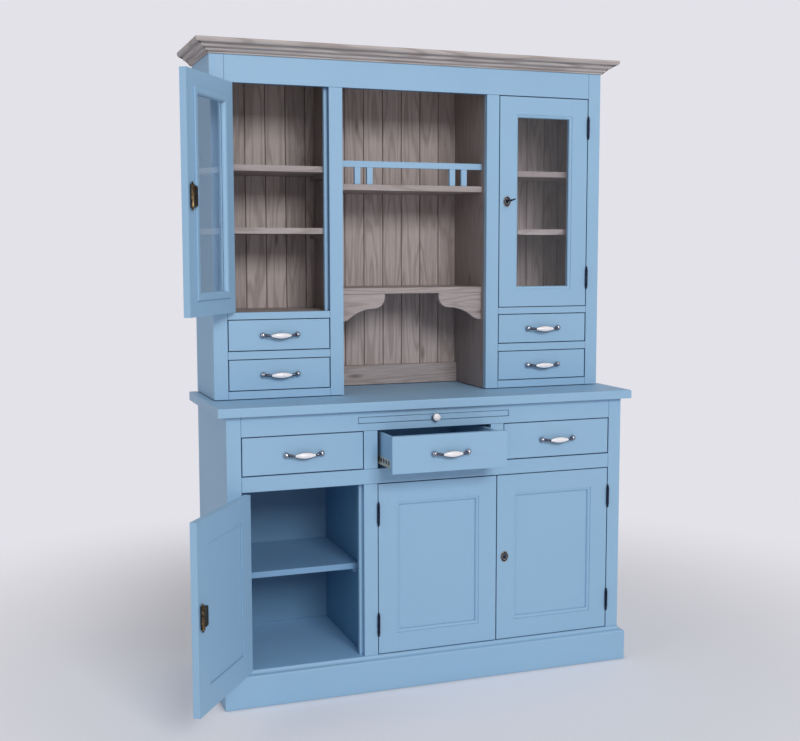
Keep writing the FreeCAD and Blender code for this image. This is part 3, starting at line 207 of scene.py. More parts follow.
def satin_paint(name, colour, shade, axis, lines=(), inner=None):
    """Paint brushed along an axis, with cracks; inner: (|x|, colour) of painted shade inside |x|.
    """
    material, tree, shader = new_material(name)
    place = add(tree, "TexCoord").outputs["Object"]
    brush = stretched_noise(tree, place, BRUSH_WIDTH, BRUSH_LENGTH, axis, detail=3.0, seed=1.7)
    cloud = stretched_noise(tree, place, CLOUD_WIDTH, CLOUD_LENGTH, axis, detail=2.0, seed=4.1)
    tone = add(tree, "MapRange", {"Value": brush, "From Min": 0.3, "From Max": 0.7,
                                  "To Min": 0.0, "To Max": 0.12}).outputs[0]
    tone = add(tree, "Math", {0: cloud, 1: 0.6, 2: tone}, operation="MULTIPLY_ADD").outputs[0]
    paint = add(tree, "Mix", {0: tone, 6: linear(colour), 7: linear(shade)},
                data_type="RGBA").outputs[2]
    if inner:
        inner_face, inner_shade_colour = inner
        x = add(tree, "SeparateXYZ", {0: place}).outputs[X]
        side = add(tree, "Math", {0: x}, operation="ABSOLUTE").outputs[0]
        within = add(tree, "Math", {0: side, 1: inner_face}, operation="LESS_THAN").outputs[0]
        paint = add(tree, "Mix", {0: within, 6: paint, 7: linear(inner_shade_colour)},
                    data_type="RGBA").outputs[2]
    if lines:
        paint = add(tree, "Mix", {0: joint_lines(tree, place, lines), 6: paint, 7: linear(CRACK)},
                    data_type="RGBA").outputs[2]
    gloss = add(tree, "MapRange", {"Value": cloud, "To Min": 0.46, "To Max": 0.58}).outputs[0]
    # painted shade: the paint darkens in gaps and grooves, where little sky is seen
    feed(tree, shader, {"Base Color": painted_gap_shade(tree, paint, BLUE_GAP_SHADE, share=0.6, open_at=0.74),
                        "Roughness": gloss,
                        "Normal": eased_and_marked(tree, brush, strength=0.05, depth=0.2 * MM)})
    return material


print("brush marks are", BRUSH_WIDTH / MM, "by", BRUSH_LENGTH / MM, "mm")

# %% [markdown]
# The same paint is needed with upright and with level strokes, and with the cracks of the two face
# frames. Inside the base the blue comes in darker and lighter copies: painted shade on the back,
# the shelves and the inner faces of the sides, and painted light on the floor.

# %% The blues
BLUE, BLUE_SHADE = "#92B7D4", "#88AECD"
OUTER_STILE, INNER_STILE, SIDE_INNER = 0.672, 0.316, 0.7195  # distances from the middle plane, m
DOOR_HEAD, BASE_RAILS, NO_LIMIT = 2.042, (0.895, 0.765, 0.714), 3.0  # heights, m
HUTCH_LINES = [(X, OUTER_STILE, Z, NO_LIMIT), (X, INNER_STILE, Z, DOOR_HEAD),
               (Z, DOOR_HEAD, X, OUTER_STILE)]
BASE_LINES = [(X, OUTER_STILE, Z, NO_LIMIT)] + [(Z, z, X, OUTER_STILE) for z in BASE_RAILS]
blue_upright = satin_paint("satin_blue_paint_upright", BLUE, BLUE_SHADE, Z)
blue_level = satin_paint("satin_blue_paint_level", BLUE, BLUE_SHADE, X)
blue_hutch = satin_paint("satin_blue_paint_hutch_frame", BLUE, BLUE_SHADE, Z, HUTCH_LINES)
blue_base = satin_paint("satin_blue_paint_base_frame", BLUE, BLUE_SHADE, Z, BASE_LINES)
# painted shade: the sides are a darker blue on their inner faces, inside the base
blue_sides_painted_shade_inside = satin_paint("satin_blue_paint_sides_painted_shade_inside", BLUE, BLUE_SHADE, Z,
                         inner=(SIDE_INNER, "#6594B4"))
# painted shade: a darker copy of the blue for the shelves inside the base
blue_inside_painted_shade = satin_paint("satin_blue_paint_inside_painted_shade", "#78A1C4", "#6F98BC", X)
# painted light: a lighter copy of the blue for the floor of the base
blue_floor_painted_light = satin_paint("satin_blue_paint_floor_painted_light", "#93C0E4", "#89B7DD", X)
# painted shade: the darkest copy of the blue, for the back inside the base
blue_back_painted_shade = satin_paint("satin_blue_paint_back_painted_shade", "#6088A8", "#58809F", X)
print("paints:", [m.name for m in bpy.data.materials if m.name.startswith("satin")])

# %% [markdown]
# ## Washed pine
# The back boards, shelves, brackets and cornice are pine with a thin grey wash, wiped off so that
# the grain shows. A plain-sawn board cuts through the tree's rings and shows them as long pointed
# arches. The height lines of a stretched noise have that shape, so the rings are a sine of such a
# noise. A knot is a small dark spot, and the points of a stretched Voronoi pattern give the knots.

# %% Rings and knots
RING_WIDTH, RING_LENGTH, RING_TURNS = 75 * MM, 700 * MM, 58.0
KNOT_WIDTH, KNOT_LENGTH = 90 * MM, 330 * MM


def ring_arches(tree, place, axis):
    """The upper part of sin(turns * noise), for a noise that is long in the axis."""
    broad = stretched_noise(tree, place, RING_WIDTH, RING_LENGTH, axis, detail=1.5, seed=2.3)
    turns = add(tree, "Math", {0: broad, 1: RING_TURNS}, operation="MULTIPLY").outputs[0]
    rings = add(tree, "Math", {0: turns}, operation="SINE").outputs[0]
    return add(tree, "MapRange", {"Value": rings, "From Min": 0.1, "From Max": 1.0,
                                  "To Min": 0.0, "To Max": 0.45}).outputs[0]


def knot_spots(tree, place, axis):
    """Strong close to the points of a Voronoi pattern whose cells are long in the axis."""
    scale = [1 / KNOT_WIDTH] * 3
    scale[axis] = 1 / KNOT_LENGTH
    cells = add(tree, "Mapping", {"Vector": place, "Scale": scale}).outputs[0]
    pattern = add(tree, "TexVoronoi", {"Vector": cells, "Scale": 1.0, "Randomness": 1.0})
    return add(tree, "MapRange", {"Value": pattern.outputs["Distance"], "From Min": 0.03,
                                  "From Max": 0.12, "To Min": 0.7, "To Max": 0.0}).outputs[0]


print("knots are about", round(KNOT_LENGTH / MM), "mm apart along the grain")

# %% [markdown]
# Pale and dark pores run through the wood in fine streaks, drawn some six times as coarse as they
# are so that they show. Each back board was cut from another plank, so each one gets its own tone
# and its own stretch of pattern, and dark lines show where the boards meet.

# %% Washed pine
# the joint brown colours the dark lines between boards, and is also painted shade in corners and
# grooves
LATEWOOD, KNOT, JOINT_AND_SHADE = "#7A6E68", "#5A4C46", "#3A2B25"
HALF_JOINT, JOINT_SHARE = 1.1 * MM, 0.75
PORE_WIDTH, PORE_LENGTH = 3.0 * MM, 90 * MM
TONE_WIDTH, TONE_LENGTH = 160 * MM, 900 * MM


def washed_pine(name, axis, dark, middle, pale, board=None, painted=None):
    """Grey-washed pine with the grain along an axis. Boards across X are given as (pitch, start),
    and a coat of paint as (axis, comparison, limit, colour): where |axis| passes the limit."""
    material, tree, shader = new_material(name)
    place = add(tree, "TexCoord").outputs["Object"]
    xyz = add(tree, "SeparateXYZ", {0: place}) if board or painted else None
    if board:
        pitch, start = board
        steps = add(tree, "Math", {0: xyz.outputs[X], 1: 1 / pitch, 2: -start / pitch},
                    operation="MULTIPLY_ADD").outputs[0]
        number = add(tree, "Math", {0: steps}, operation="FLOOR").outputs[0]
        own = add(tree, "TexWhiteNoise", {"W": number}, noise_dimensions="1D").outputs[0]
        shift = add(tree, "CombineXYZ", {Z: number}).outputs[0]
        place = add(tree, "VectorMath", {0: place, 1: shift}, operation="ADD").outputs[0]
    else:
        own = stretched_noise(tree, place, TONE_WIDTH, TONE_LENGTH, axis, detail=1.0, seed=9.3)
    pores = stretched_noise(tree, place, PORE_WIDTH, PORE_LENGTH, axis, detail=3.0, seed=6.9)
    tone = add(tree, "Math", {0: own, 1: 0.55, 2: pores}, operation="MULTIPLY_ADD").outputs[0]
    tone = add(tree, "MapRange", {"Value": tone, "From Min": 0.35, "From Max": 1.05}).outputs[0]
    streak = add(tree, "MapRange", {"Value": pores, "From Min": 0.55, "From Max": 0.8,
                                    "To Min": 0.0, "To Max": 0.6}).outputs[0]
    layers = [(tone, middle), (streak, pale), (ring_arches(tree, place, axis), LATEWOOD),
              (knot_spots(tree, place, axis), KNOT)]
    if board:
        off = add(tree, "Math", {0: steps, 1: 0.5}, operation="PINGPONG").outputs[0]
        near = add(tree, "Math", {0: off, 1: HALF_JOINT / pitch}, operation="LESS_THAN").outputs[0]
        joint = add(tree, "Math", {0: near, 1: JOINT_SHARE}, operation="MULTIPLY").outputs[0]
        layers.append((joint, JOINT_AND_SHADE))
    if painted:
        side_axis, comparison, limit, coat_colour = painted
        side = add(tree, "Math", {0: xyz.outputs[side_axis]}, operation="ABSOLUTE").outputs[0]
        coat = add(tree, "Math", {0: side, 1: limit}, operation=comparison).outputs[0]
        layers.append((coat, coat_colour))
    wood = linear(dark)
    for share, colour in layers:
        wood = add(tree, "Mix", {0: share, 6: wood, 7: linear(colour)}, data_type="RGBA").outputs[2]
    rough = add(tree, "MapRange", {"Value": pores, "To Min": 0.55, "To Max": 0.75}).outputs[0]
    # painted shade: the wood darkens towards the joint brown in corners and grooves
    feed(tree, shader, {"Base Color": painted_gap_shade(tree, wood, JOINT_AND_SHADE, share=0.65, open_at=0.78),
                        "Roughness": rough,
                        "Normal": eased_and_marked(tree, pores, strength=0.25, depth=0.5 * MM)})
    return material


print("pores are", PORE_WIDTH / MM, "by", PORE_LENGTH / MM, "mm")

# %% [markdown]
# The wash lies more thickly on the cornice than inside the hutch, so the cornice is paler to the
# eye. The hutch's sides are washed inside and painted outside, and the cleats are painted in the
# base only. Runners, bearers and the top panel are out of sight and bare: yellow sawn pine.

# %% The woods
BACK_BOARDS = 19
BOARD_PITCH, BOARD_START = 1.404 / BACK_BOARDS, -0.687
BASE_TOP = 1.0
# the cleats' coat in the base is real, and its darker blue is painted shade
CLEAT_COAT_WITH_PAINTED_SHADE = "#82A9CA"
DIM_WASH = ("#7E7371", "#988C8A", "#A99F9D")
washed_boards = washed_pine("washed_pine_boards", Z, "#968A88", "#B3A7A4", "#C1B6B3",
                            board=(BOARD_PITCH, BOARD_START))
washed_level = washed_pine("washed_pine_level", X, "#8F8584", "#A89D9C", "#BDB4B2")
washed_upright = washed_pine("washed_pine_upright", Z, *DIM_WASH,
                             painted=(X, "GREATER_THAN", SIDE_INNER, BLUE))
washed_cleats = washed_pine("washed_pine_cleats", Y, *DIM_WASH,
                            painted=(Z, "LESS_THAN", BASE_TOP, CLEAT_COAT_WITH_PAINTED_SHADE))
washed_cornice = washed_pine("washed_pine_cornice", X, "#A59C99", "#BBB2AF", "#CBC3C0")
washed_return = washed_pine("washed_pine_return", Y, "#A09896", "#B7AFAD", "#C8C1BF")
pine = washed_pine("sawn_pine", Y, "#C9AD82", "#D8BF97", "#E3CFAE")
print("woods:", [m.name for m in bpy.data.materials if "pine" in m.name])

# %% [markdown]
# ## Metals
# The hinges and keyhole plates are steel with a nearly black bronze finish, which hands have worn
# bright on the raised rims. The locks are brass that was browned with age, and the handles are cast
# pewter, bright on their feet and darker on their arms, for patina and painted shade. On all of
# them the eye sees patches of tarnish a few millimetres across, which are darker and rougher than
# the rest.

# %% Tarnished metals
def tarnished_metal(name, bright, dull, patch, low_rough, high_rough):
    """A metal with patches of tarnish about 'patch' across, rougher where it is dull."""
    material, tree, shader = new_material(name)
    place = add(tree, "TexCoord").outputs["Object"]
    spots = stretched_noise(tree, place, patch, patch, Z, detail=4.0, seed=3.1)
    mask = add(tree, "MapRange", {"Value": spots, "From Min": 0.35, "From Max": 0.65}).outputs[0]
    tint = add(tree, "Mix", {0: mask, 6: linear(bright), 7: linear(dull)},
               data_type="RGBA").outputs[2]
    rough = add(tree, "MapRange", {"Value": spots, "To Min": low_rough,
                                   "To Max": high_rough}).outputs[0]
    bump = add(tree, "Bump", {"Height": spots, "Strength": 0.15, "Distance": 0.2 * MM}).outputs[0]
    # painted shade: the metal darkens towards near black in its hollows
    feed(tree, shader, {"Base Color": painted_gap_shade(tree, tint, "#0E0D10", share=0.8, open_at=0.7),
                        "Metallic": 1.0, "Roughness": rough, "Normal": bump})
    return material


bronzed = tarnished_metal("bronzed_steel", "#33364A", "#1A1D2C", 7 * MM, 0.3, 0.5)
worn_bronze = tarnished_metal("worn_bronze", "#B3AEA6", "#7C766E", 4 * MM, 0.22, 0.4)
brass = tarnished_metal("aged_brass", "#776548", "#332C27", 8 * MM, 0.22, 0.42)
pewter = tarnished_metal("cast_pewter", "#C2C4CA", "#777984", 5 * MM, 0.16, 0.32)
# darker pewter for the arms and the knob stem: partly patina, partly painted shade
pewter_patina_and_shade = tarnished_metal("pewter_patina_and_painted_shade", "#6E707C", "#3A3B47", 5 * MM, 0.2, 0.38)
print("metals:", [m.name for m in (bronzed, worn_bronze, brass, pewter, pewter_patina_and_shade)])

# %% [markdown]
# ## Glass and porcelain
# The panes are clear float glass: to the eye they are hardly there, but for a faint veil. A shut
# cupboard is dim behind its pane, so the pane lets only half of the lamps' light through. The grips
# and the knob are white porcelain under a clear glaze, bright and very smooth.

# %% Float glass and glazed porcelain
def float_glass(name):
    """Clear glass; for rays to a lamp it is a grey filter instead."""
    material, tree, shader = new_material(name)
    feed(tree, shader, {"Base Color": linear("#FAFAFB"), "Roughness": 0.0, "IOR": 1.40,
                        "Transmission Weight": 1.0})
    lamp_ray = add(tree, "LightPath").outputs["Is Shadow Ray"]
    grey = add(tree, "BsdfTransparent", {"Color": linear("#B4B4B8")}).outputs[0]
    both = add(tree, "MixShader", {0: lamp_ray, 1: shader.outputs[0], 2: grey}).outputs[0]
    set_surface(tree, both)
    return material


def glazed_porcelain(name):
    """White clay under clear glaze: a faint cloud of tone, and a gloss that ripples break up."""
    material, tree, shader = new_material(name)
    place = add(tree, "TexCoord").outputs["Object"]
    cloud = stretched_noise(tree, place, 9 * MM, 9 * MM, Z, detail=2.0, seed=5.3)
    white = add(tree, "Mix", {0: cloud, 6: linear("#F7F5F7"), 7: linear("#E6E2E6")},
                data_type="RGBA").outputs[2]
    bump = add(tree, "Bump", {"Height": cloud, "Strength": 0.08, "Distance": 0.3 * MM}).outputs[0]
    feed(tree, shader, {"Base Color": white, "Roughness": 0.12, "Coat Weight": 0.4, "Normal": bump})
    return material


glass = float_glass("clear_float_glass")
porcelain = glazed_porcelain("glazed_white_porcelain")
print("clear and white:", glass.name, "and", porcelain.name)

# %% [markdown]
# ## Coated steel
# The drawer slides are sheet steel with a white baked coating, which looks pale and dull with a few
# worn flecks, and with a row of punched holes. The holes are dark and tell more than their depth,
# so they are drawn as spots of painted shade: the pattern repeats along the slide, and points near
# a hole's centre are dark.

# %% White coated steel
HOLE_PITCH, HOLE_RADIUS, HOLE_BLUR = 25 * MM, 8.5 * MM, 0.4 * MM
SLIDE_HEIGHT = 0.796


def coated_steel(name, coat_colour, worn_colour):
    """Coated sheet with holes of painted shade in a row along Y, at the height of the slides."""
    material, tree, shader = new_material(name)
    place = add(tree, "TexCoord").outputs["Object"]
    xyz = add(tree, "SeparateXYZ", {0: place})
    along = add(tree, "Math", {0: xyz.outputs[Y], 1: HOLE_PITCH, 2: 0.0},
                operation="WRAP").outputs[0]
    off_y = add(tree, "Math", {0: along, 1: -HOLE_PITCH / 2}, operation="ADD").outputs[0]
    off_z = add(tree, "Math", {0: xyz.outputs[Z], 1: -SLIDE_HEIGHT}, operation="ADD").outputs[0]
    off = add(tree, "CombineXYZ", {Y: off_y, Z: off_z}).outputs[0]
    far = add(tree, "VectorMath", {0: off}, operation="LENGTH").outputs["Value"]
    hole = add(tree, "MapRange", {"Value": far, "From Min": HOLE_RADIUS - HOLE_BLUR,
                                  "From Max": HOLE_RADIUS + HOLE_BLUR,
                                  "To Min": 0.95, "To Max": 0.0}).outputs[0]
    fleck = stretched_noise(tree, place, 8 * MM, 40 * MM, Y, detail=2.0, seed=7.7)
    coat = add(tree, "Mix", {0: fleck, 6: linear(coat_colour), 7: linear(worn_colour)},
               data_type="RGBA").outputs[2]
    # painted shade: near-black spots where the holes are
    coat = add(tree, "Mix", {0: hole, 6: coat, 7: linear("#15191C")}, data_type="RGBA").outputs[2]
    bump = add(tree, "Bump", {"Height": fleck, "Strength": 0.1, "Distance": 0.2 * MM}).outputs[0]
    feed(tree, shader, {"Base Color": coat, "Roughness": 0.42, "Normal": bump})
    return material


white_steel = coated_steel("white_coated_steel", "#D3D6CC", "#A9ADA4")
print("slides:", white_steel.name, "with a hole every", HOLE_PITCH / MM, "mm")

# %% [markdown]
# ## Which piece wears which finish
# A CAD piece keeps its mesh and only its material slots change, so a table from finish to pieces is
# all it takes. The small fittings aren't in it, because they are made again further down.

# %% Dress the joinery
finishes = {
    blue_hutch: ["hutch_face_frame"],
    blue_base: ["base_face_frame", "slotted_top_rail"],
    blue_sides_painted_shade_inside: ["base_uprights"],
    blue_inside_painted_shade: ["base_shelves"],
    blue_back_painted_shade: ["base_back_panel"],
    blue_upright: ["door_stops", "upper_left_door_frame", "upper_right_door_frame",
                   "lower_left_door_frame", "lower_middle_door_frame", "lower_right_door_frame"],
    blue_floor_painted_light: ["base_decks"],
    blue_level: ["top_board", "plinth_skirting", "gallery_rail", "base_left_drawer",
                 "base_middle_drawer", "base_right_drawer", "hutch_left_lower_drawer",
                 "hutch_left_upper_drawer", "hutch_right_lower_drawer",
                 "hutch_right_upper_drawer", "pull_out_board"],
    washed_boards: ["hutch_back_boards"],
    washed_level: ["cupboard_shelves", "centre_shelves", "scroll_brackets", "back_skirting"],
    washed_cleats: ["shelf_cleats"],
    washed_upright: ["hutch_uprights"],
    pine: ["wooden_runners", "plinth_bearers", "hutch_top_panel"],
    glass: ["upper_left_door_pane", "upper_right_door_pane"],
    white_steel: ["cabinet_slides", "base_left_drawer_slides", "base_middle_drawer_slides",
                  "base_right_drawer_slides"],
    brass: ["upper_left_door_bolt", "upper_right_door_bolt", "lower_left_door_bolt",
            "lower_right_door_bolt"],
}
for finish, names in finishes.items():
    for name in names:
        nodes[name].data.materials.clear()
        nodes[name].data.materials.append(finish)
print("dressed:", sum(len(names) for names in finishes.values()), "of", len(nodes))

# %% [markdown]
# ## Skins for the small fittings
# A turned, bent or cast fitting is a grid of points whose columns run round it. Neighbouring points
# make the faces, the last column joins the first, and each end is closed by a fan of triangles, so
# nothing is left open. If the enclosed volume comes out negative, the faces look inwards and are
# turned round.

# %% Grids to pieces
SHARP_ANGLE = 40.0


def closed_skin(points, ends):
    """Corners and faces of a grid whose columns close: 'fan' ends get a middle point each, 'ring'
    ends join the last row to the first. Volume is the sum of a . (b x c) over the triangles."""
    rows, columns = points.shape[:2]
    index = np.arange(rows * columns).reshape(rows, columns)
    here, there = index[:-1], index[1:]
    if ends == "ring":
        here, there = index, np.roll(index, -1, axis=0)
    quads = np.stack([here, np.roll(here, -1, axis=1), np.roll(there, -1, axis=1), there], axis=-1)
    quads = quads.reshape(-1, 4)
    corners = points.reshape(-1, 3)
    fans = np.empty((0, 3), int)
    if ends == "fan":
        first, last = (np.full(columns, len(corners) + k) for k in (0, 1))
        corners = np.vstack([corners, points[[0, -1]].mean(axis=1)])
        fans = np.vstack([np.stack([first, np.roll(index[0], -1), index[0]], axis=-1),
                          np.stack([last, index[-1], np.roll(index[-1], -1)], axis=-1)])
    triangles = np.vstack([quads[:, [0, 1, 2]], quads[:, [0, 2, 3]], fans])
    a, b, c = (corners[triangles[:, k]] for k in range(3))
    if np.sum(a * np.cross(b, c)) < 0:
        quads, fans = quads[:, ::-1], fans[:, ::-1]
    return corners, quads, fans


def fitting(name, skins, finish, body, slot, *stands_for):
    """One object from closed skins, smooth but sharp at its corners, that rides on a body."""
    corners, faces, start = [], [], 0
    for points, ends in skins:
        own, quads, fans = closed_skin(points, ends)
        corners.append(own)
        faces += (quads + start).tolist() + (fans + start).tolist()
        start += len(own)
    mesh = bpy.data.meshes.new(name)
    mesh.from_pydata(np.vstack(corners).tolist(), [], faces)
    mesh.polygons.foreach_set("use_smooth", np.ones(len(faces), bool))
    mesh.set_sharp_from_angle(angle=math.radians(SHARP_ANGLE))
    mesh.materials.append(finish)
    piece = bpy.data.objects.new(name, mesh)
    bpy.context.scene.collection.objects.link(piece)
    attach(piece, body)
    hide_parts(*stands_for)


print("fittings are smooth, and sharp where faces meet at over", SHARP_ANGLE, "degrees")

# %% [markdown]
# Three shapes do nearly all the work: a profile turned on a lathe, a round bar that follows a path,
# and a block whose edges are eased. The block is a ball whose cosines and sines are raised to a
# small power, which pushes its surface out towards six faces.

# %% Lathe, bar and eased block
OUT, UP = (0.0, -1.0, 0.0), (0.0, 0.0, 1.0)


def turns(count):
    """A number of angles, evenly spread over a full turn."""
    return np.linspace(0, 2 * np.pi, count, endpoint=False)


def lathe(heights, radii, centre, axis, columns=24):
    """Turned round an axis: centre + height * axis + radius * (cos a * u + sin a * v), in mm."""
    axis = np.asarray(axis, float)
    v = np.cross(axis, (1.0, 0.0, 0.0))
    u = np.cross(v, axis)
    a = turns(columns)[None, :, None]
    height, radius = (np.asarray(values)[:, None, None] for values in (heights, radii))
    points = np.asarray(centre) + height * axis + radius * (np.cos(a) * u + np.sin(a) * v)
    return points * MM, "fan"


def bar(path, radii, ends="fan", normal=UP, columns=16):
    """A round bar along a flat path: each ring is cos a across it and sin a along its normal."""
    tangent = np.gradient(path, axis=0)
    if ends == "ring":
        tangent = np.roll(path, -1, axis=0) - np.roll(path, 1, axis=0)
    side = np.cross(tangent, normal)
    side /= np.linalg.norm(side, axis=1, keepdims=True)
    a = turns(columns)[None, :, None]
    ring = np.cos(a) * side[:, None, :] + np.sin(a) * np.asarray(normal)
    radius = np.broadcast_to(radii, len(path))[:, None, None]
    return (path[:, None, :] + radius * ring) * MM, ends


def eased_block(low, high, power=0.22, rows=15, columns=32):
    """Between two corners in mm: half sizes times cosines and sines of two angles, to a power."""
    def eased(wave):
        return np.sign(wave) * np.abs(wave) ** power

    centre, half = np.add(low, high) / 2, np.subtract(high, low) / 2
    b = np.linspace(-np.pi / 2, np.pi / 2, rows + 2)[1:-1][:, None]
    a = turns(columns)[None, :]
    ball = (eased(np.cos(a)) * eased(np.cos(b)), eased(np.sin(a)) * eased(np.cos(b)),
            eased(np.sin(b)))
    return (centre + half * np.stack(np.broadcast_arrays(*ball), axis=-1)) * MM, "fan"


print("an eased block has", eased_block((0, 0, 0), (1, 1, 1))[0].shape[:2], "rows and columns")

# %% [markdown]
# ## Cornice
# The cornice is a moulding in three pieces, mitred at the front corners: a crown, a round under it,
# a second smaller round, and a flat fillet, each one set back by a sharp quirk that gathers shade.
# A joiner runs such a profile with shaped planes, one for each round. Here the profile is a closed
# line of points (out, up), and each piece carries it along its own edge; each point's mitre cuts
# the ends.

# %% Cornice
def box_mm(name):
    """The lowest and the highest corner of a CAD piece, in mm."""
    return [np.array(corner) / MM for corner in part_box(name)]


def round_step(start, stop, bow, steps=9):
    """An arc-like line from start to stop: the straight line plus bow * sin(pi t), square to it."""
    start, stop = np.array(start, float), np.array(stop, float)
    t = np.linspace(0, 1, steps)[:, None]
    along = (stop - start) / np.linalg.norm(stop - start)
    return start + t * (stop - start) + bow * np.sin(np.pi * t) * np.array([along[1], -along[0]])


cornice_profile = np.vstack([
    [[0.0, 0.0], [4.5, 0.0], [4.5, 5.0], [6.0, 5.4]],
    round_step((6.5, 5.5), (15.0, 15.0), 3.0),
    round_step((19.0, 16.4), (32.0, 28.5), 4.6),
    round_step((36.5, 29.8), (51.0, 39.0), 5.0),
    [[51.0, 42.0], [50.4, 44.2], [48.8, 45.0], [0.0, 45.0]],
])
low, high = box_mm("cornice")
out, up = cornice_profile[:, 0], cornice_profile[:, 1] + low[Z]
reach = out.max()
side_x, front_y, back_y = high[X] - reach, low[Y] + reach, high[Y]
left_front = np.stack([-side_x - out, front_y - out, up], axis=-1)
left_back = np.stack([-side_x - out, np.full_like(out, back_y), up], axis=-1)
right_front, right_back = (end * np.array([-1.0, 1.0, 1.0]) for end in (left_front, left_back))
for name, ends, finish in (("cornice_front", (left_front, right_front), washed_cornice),
                           ("cornice_left_return", (left_back, left_front), washed_return),
                           ("cornice_right_return", (right_front, right_back), washed_return)):
    fitting(name, [(np.stack(ends) * MM, "fan")], finish, "carcass", "washed_wood", "cornice")
print("cornice profile:", len(cornice_profile), "points, reach", reach, "mm")

# %% [markdown]
# ## Bow handles
# Each drawer has a cast pewter bow: two ball feet, curved arms that swell twice, and a cradle that
# holds a white porcelain grip shaped like a long lozenge. The arm follows a bent path (a quadratic
# Bezier curve), and the grip is a lathe shape whose round is squashed flat towards the drawer.

# %% Handle shapes
FOOT_SPACING = 120.0
BALL_RADIUS, BALL_STAND, FLANGE_RADIUS = 9.8, 8.2, 6.6
GRIP_OUT, GRIP_SAG, CRADLE_OUT, CRADLE_DROP = 23.0, 2.0, 21.5, 0.6
ARM_POINTS = ((FOOT_SPACING / 2 - 2, 9.0), (50.0, 22.0), (33.0, 22.5))  # along and out of the front


def bell(t, height, at, width):
    """A bell curve: height * exp(-((t - at) / width)^2)."""
    return height * np.exp(-((t - at) / width) ** 2)


def foot(centre):
    """A ball cut off by the front, on a flange: radius R cos b at the height stand + R sin b."""
    b = np.radians(np.linspace(-46, 86, 14))
    heights = np.concatenate([[0.0, 0.8], BALL_STAND + BALL_RADIUS * np.sin(b)])
    radii = np.concatenate([[FLANGE_RADIUS, FLANGE_RADIUS], BALL_RADIUS * np.cos(b)])
    return lathe(heights, radii, centre, OUT, 28)


def arm(x, face, z, side):
    """A bar along (1-t)^2 A + 2t(1-t) B + t^2 C from foot to grip, with a taper and two bells."""
    t = np.linspace(0, 1, 40)
    a, b, c = (np.array([x + side * along, face - out, z]) for along, out in ARM_POINTS)
    s = t[:, None]
    path = (1 - s) ** 2 * a + 2 * s * (1 - s) * b + s ** 2 * c
    path[:, Z] -= GRIP_SAG * t ** 2
    return bar(path, 5.0 - 1.6 * t + bell(t, 0.6, 0.25, 0.1) + bell(t, 1.6, 0.62, 0.12))


def lozenge(x, out_y, z, length, height, front, back, columns=32):
    """Round X: a swell of cos(pi x / 2L)^0.9, times a half height, and times 'front' or 'back'."""
    along = length * np.sin(np.radians(np.linspace(-86, 86, 33)))[:, None]
    swell = np.cos(np.pi * along / (2 * length)) ** 0.9
    a = turns(columns)[None, :]
    deep = np.where(np.cos(a) > 0, front, back) * np.cos(a)
    grid = np.broadcast_arrays(x + along, out_y - swell * deep, z + height * swell * np.sin(a))
    return np.stack(grid, axis=-1) * MM, "fan"


print("feet are", FOOT_SPACING, "mm apart")

# %% Make the handles
def handle(name, body, x, face, z):
    """A pewter bow and its porcelain grip on a drawer front, both in place of the CAD handle."""
    feet = [foot((x + side * FOOT_SPACING / 2, face, z)) for side in (-1, 1)]
    arms = [arm(x, face, z, side) for side in (-1, 1)]
    cradle = lozenge(x, face - CRADLE_OUT, z - GRIP_SAG - CRADLE_DROP,
                     length=44.0, height=11.6, front=3.2, back=4.6)
    grip = lozenge(x, face - GRIP_OUT, z - GRIP_SAG, length=42.0, height=10.0, front=8.6, back=1.0)
    fitting(name + "_feet", feet, pewter, body, "pewter_handle", name)
    fitting(name + "_bow", arms + [cradle], pewter_patina_and_shade, body, "pewter_handle", name)
    fitting(name + "_grip", [grip], porcelain, body, "white_porcelain", name)


handle_names = [name for name in nodes if name.endswith("_drawer_handle")]
for name in handle_names:
    low, high = box_mm(name)
    middle = (low + high) / 2
    handle(name, name[:-len("_handle")], middle[X], high[Y], middle[Z])
print("handles:", len(handle_names))

# %% [markdown]
# ## Knob of the pull-out board
# A metal rose, stem and cup carry a turned porcelain head. Both are lathe shapes; the head's
# profile is a flattened circle, fuller towards the front.

# %% Knob
low, high = box_mm("pull_out_board_knob")
middle = (low + high) / 2
knob_at = (middle[X], high[Y], middle[Z])
stem = lathe([0, 0.9, 1.7, 2.6, 4.2, 7.0, 8.4, 9.4, 10.4, 12.0, 13.4, 14.0],
             [8, 8, 7.2, 5.6, 4.5, 4.5, 6.5, 11.0, 13.6, 14.5, 14.3, 13.2], knob_at, OUT, 36)
b = np.radians(np.linspace(-40, 86, 24))
head = lathe(16.0 + np.where(b < 0, 5.0, 7.0) * np.sin(b), 13.3 * np.cos(b) ** 0.7,
             knob_at, OUT, 36)
for part, skin, finish, slot in (("stem", stem, pewter_patina_and_shade, "pewter_handle"),
                                 ("head", head, porcelain, "white_porcelain")):
    fitting("pull_out_board_knob_" + part, [skin], finish, "pull_out_board", slot,
            "pull_out_board_knob")
print("knob at", [round(v, 1) for v in knob_at], "mm")

# %% [markdown]
# ## Doors: hinges, keyhole plates and locks
# The fittings of a door are worked out with the door shut and hung on its left, because there all
# lines are straight. A door on the right is the mirror image, and a door that stands open is turned
# about its hinge line afterwards. The record of the joints gives the hinge lines.

# %% Door table
joint_places = {j["name"]: j.get("pos_m") for j in frame["record"]["behaviour"]["joints"]}
LEFT_OPEN = 125.0
LOWER_SPAN, UPPER_SPAN = (121.0, 714.0), (1288.0, 2042.0)
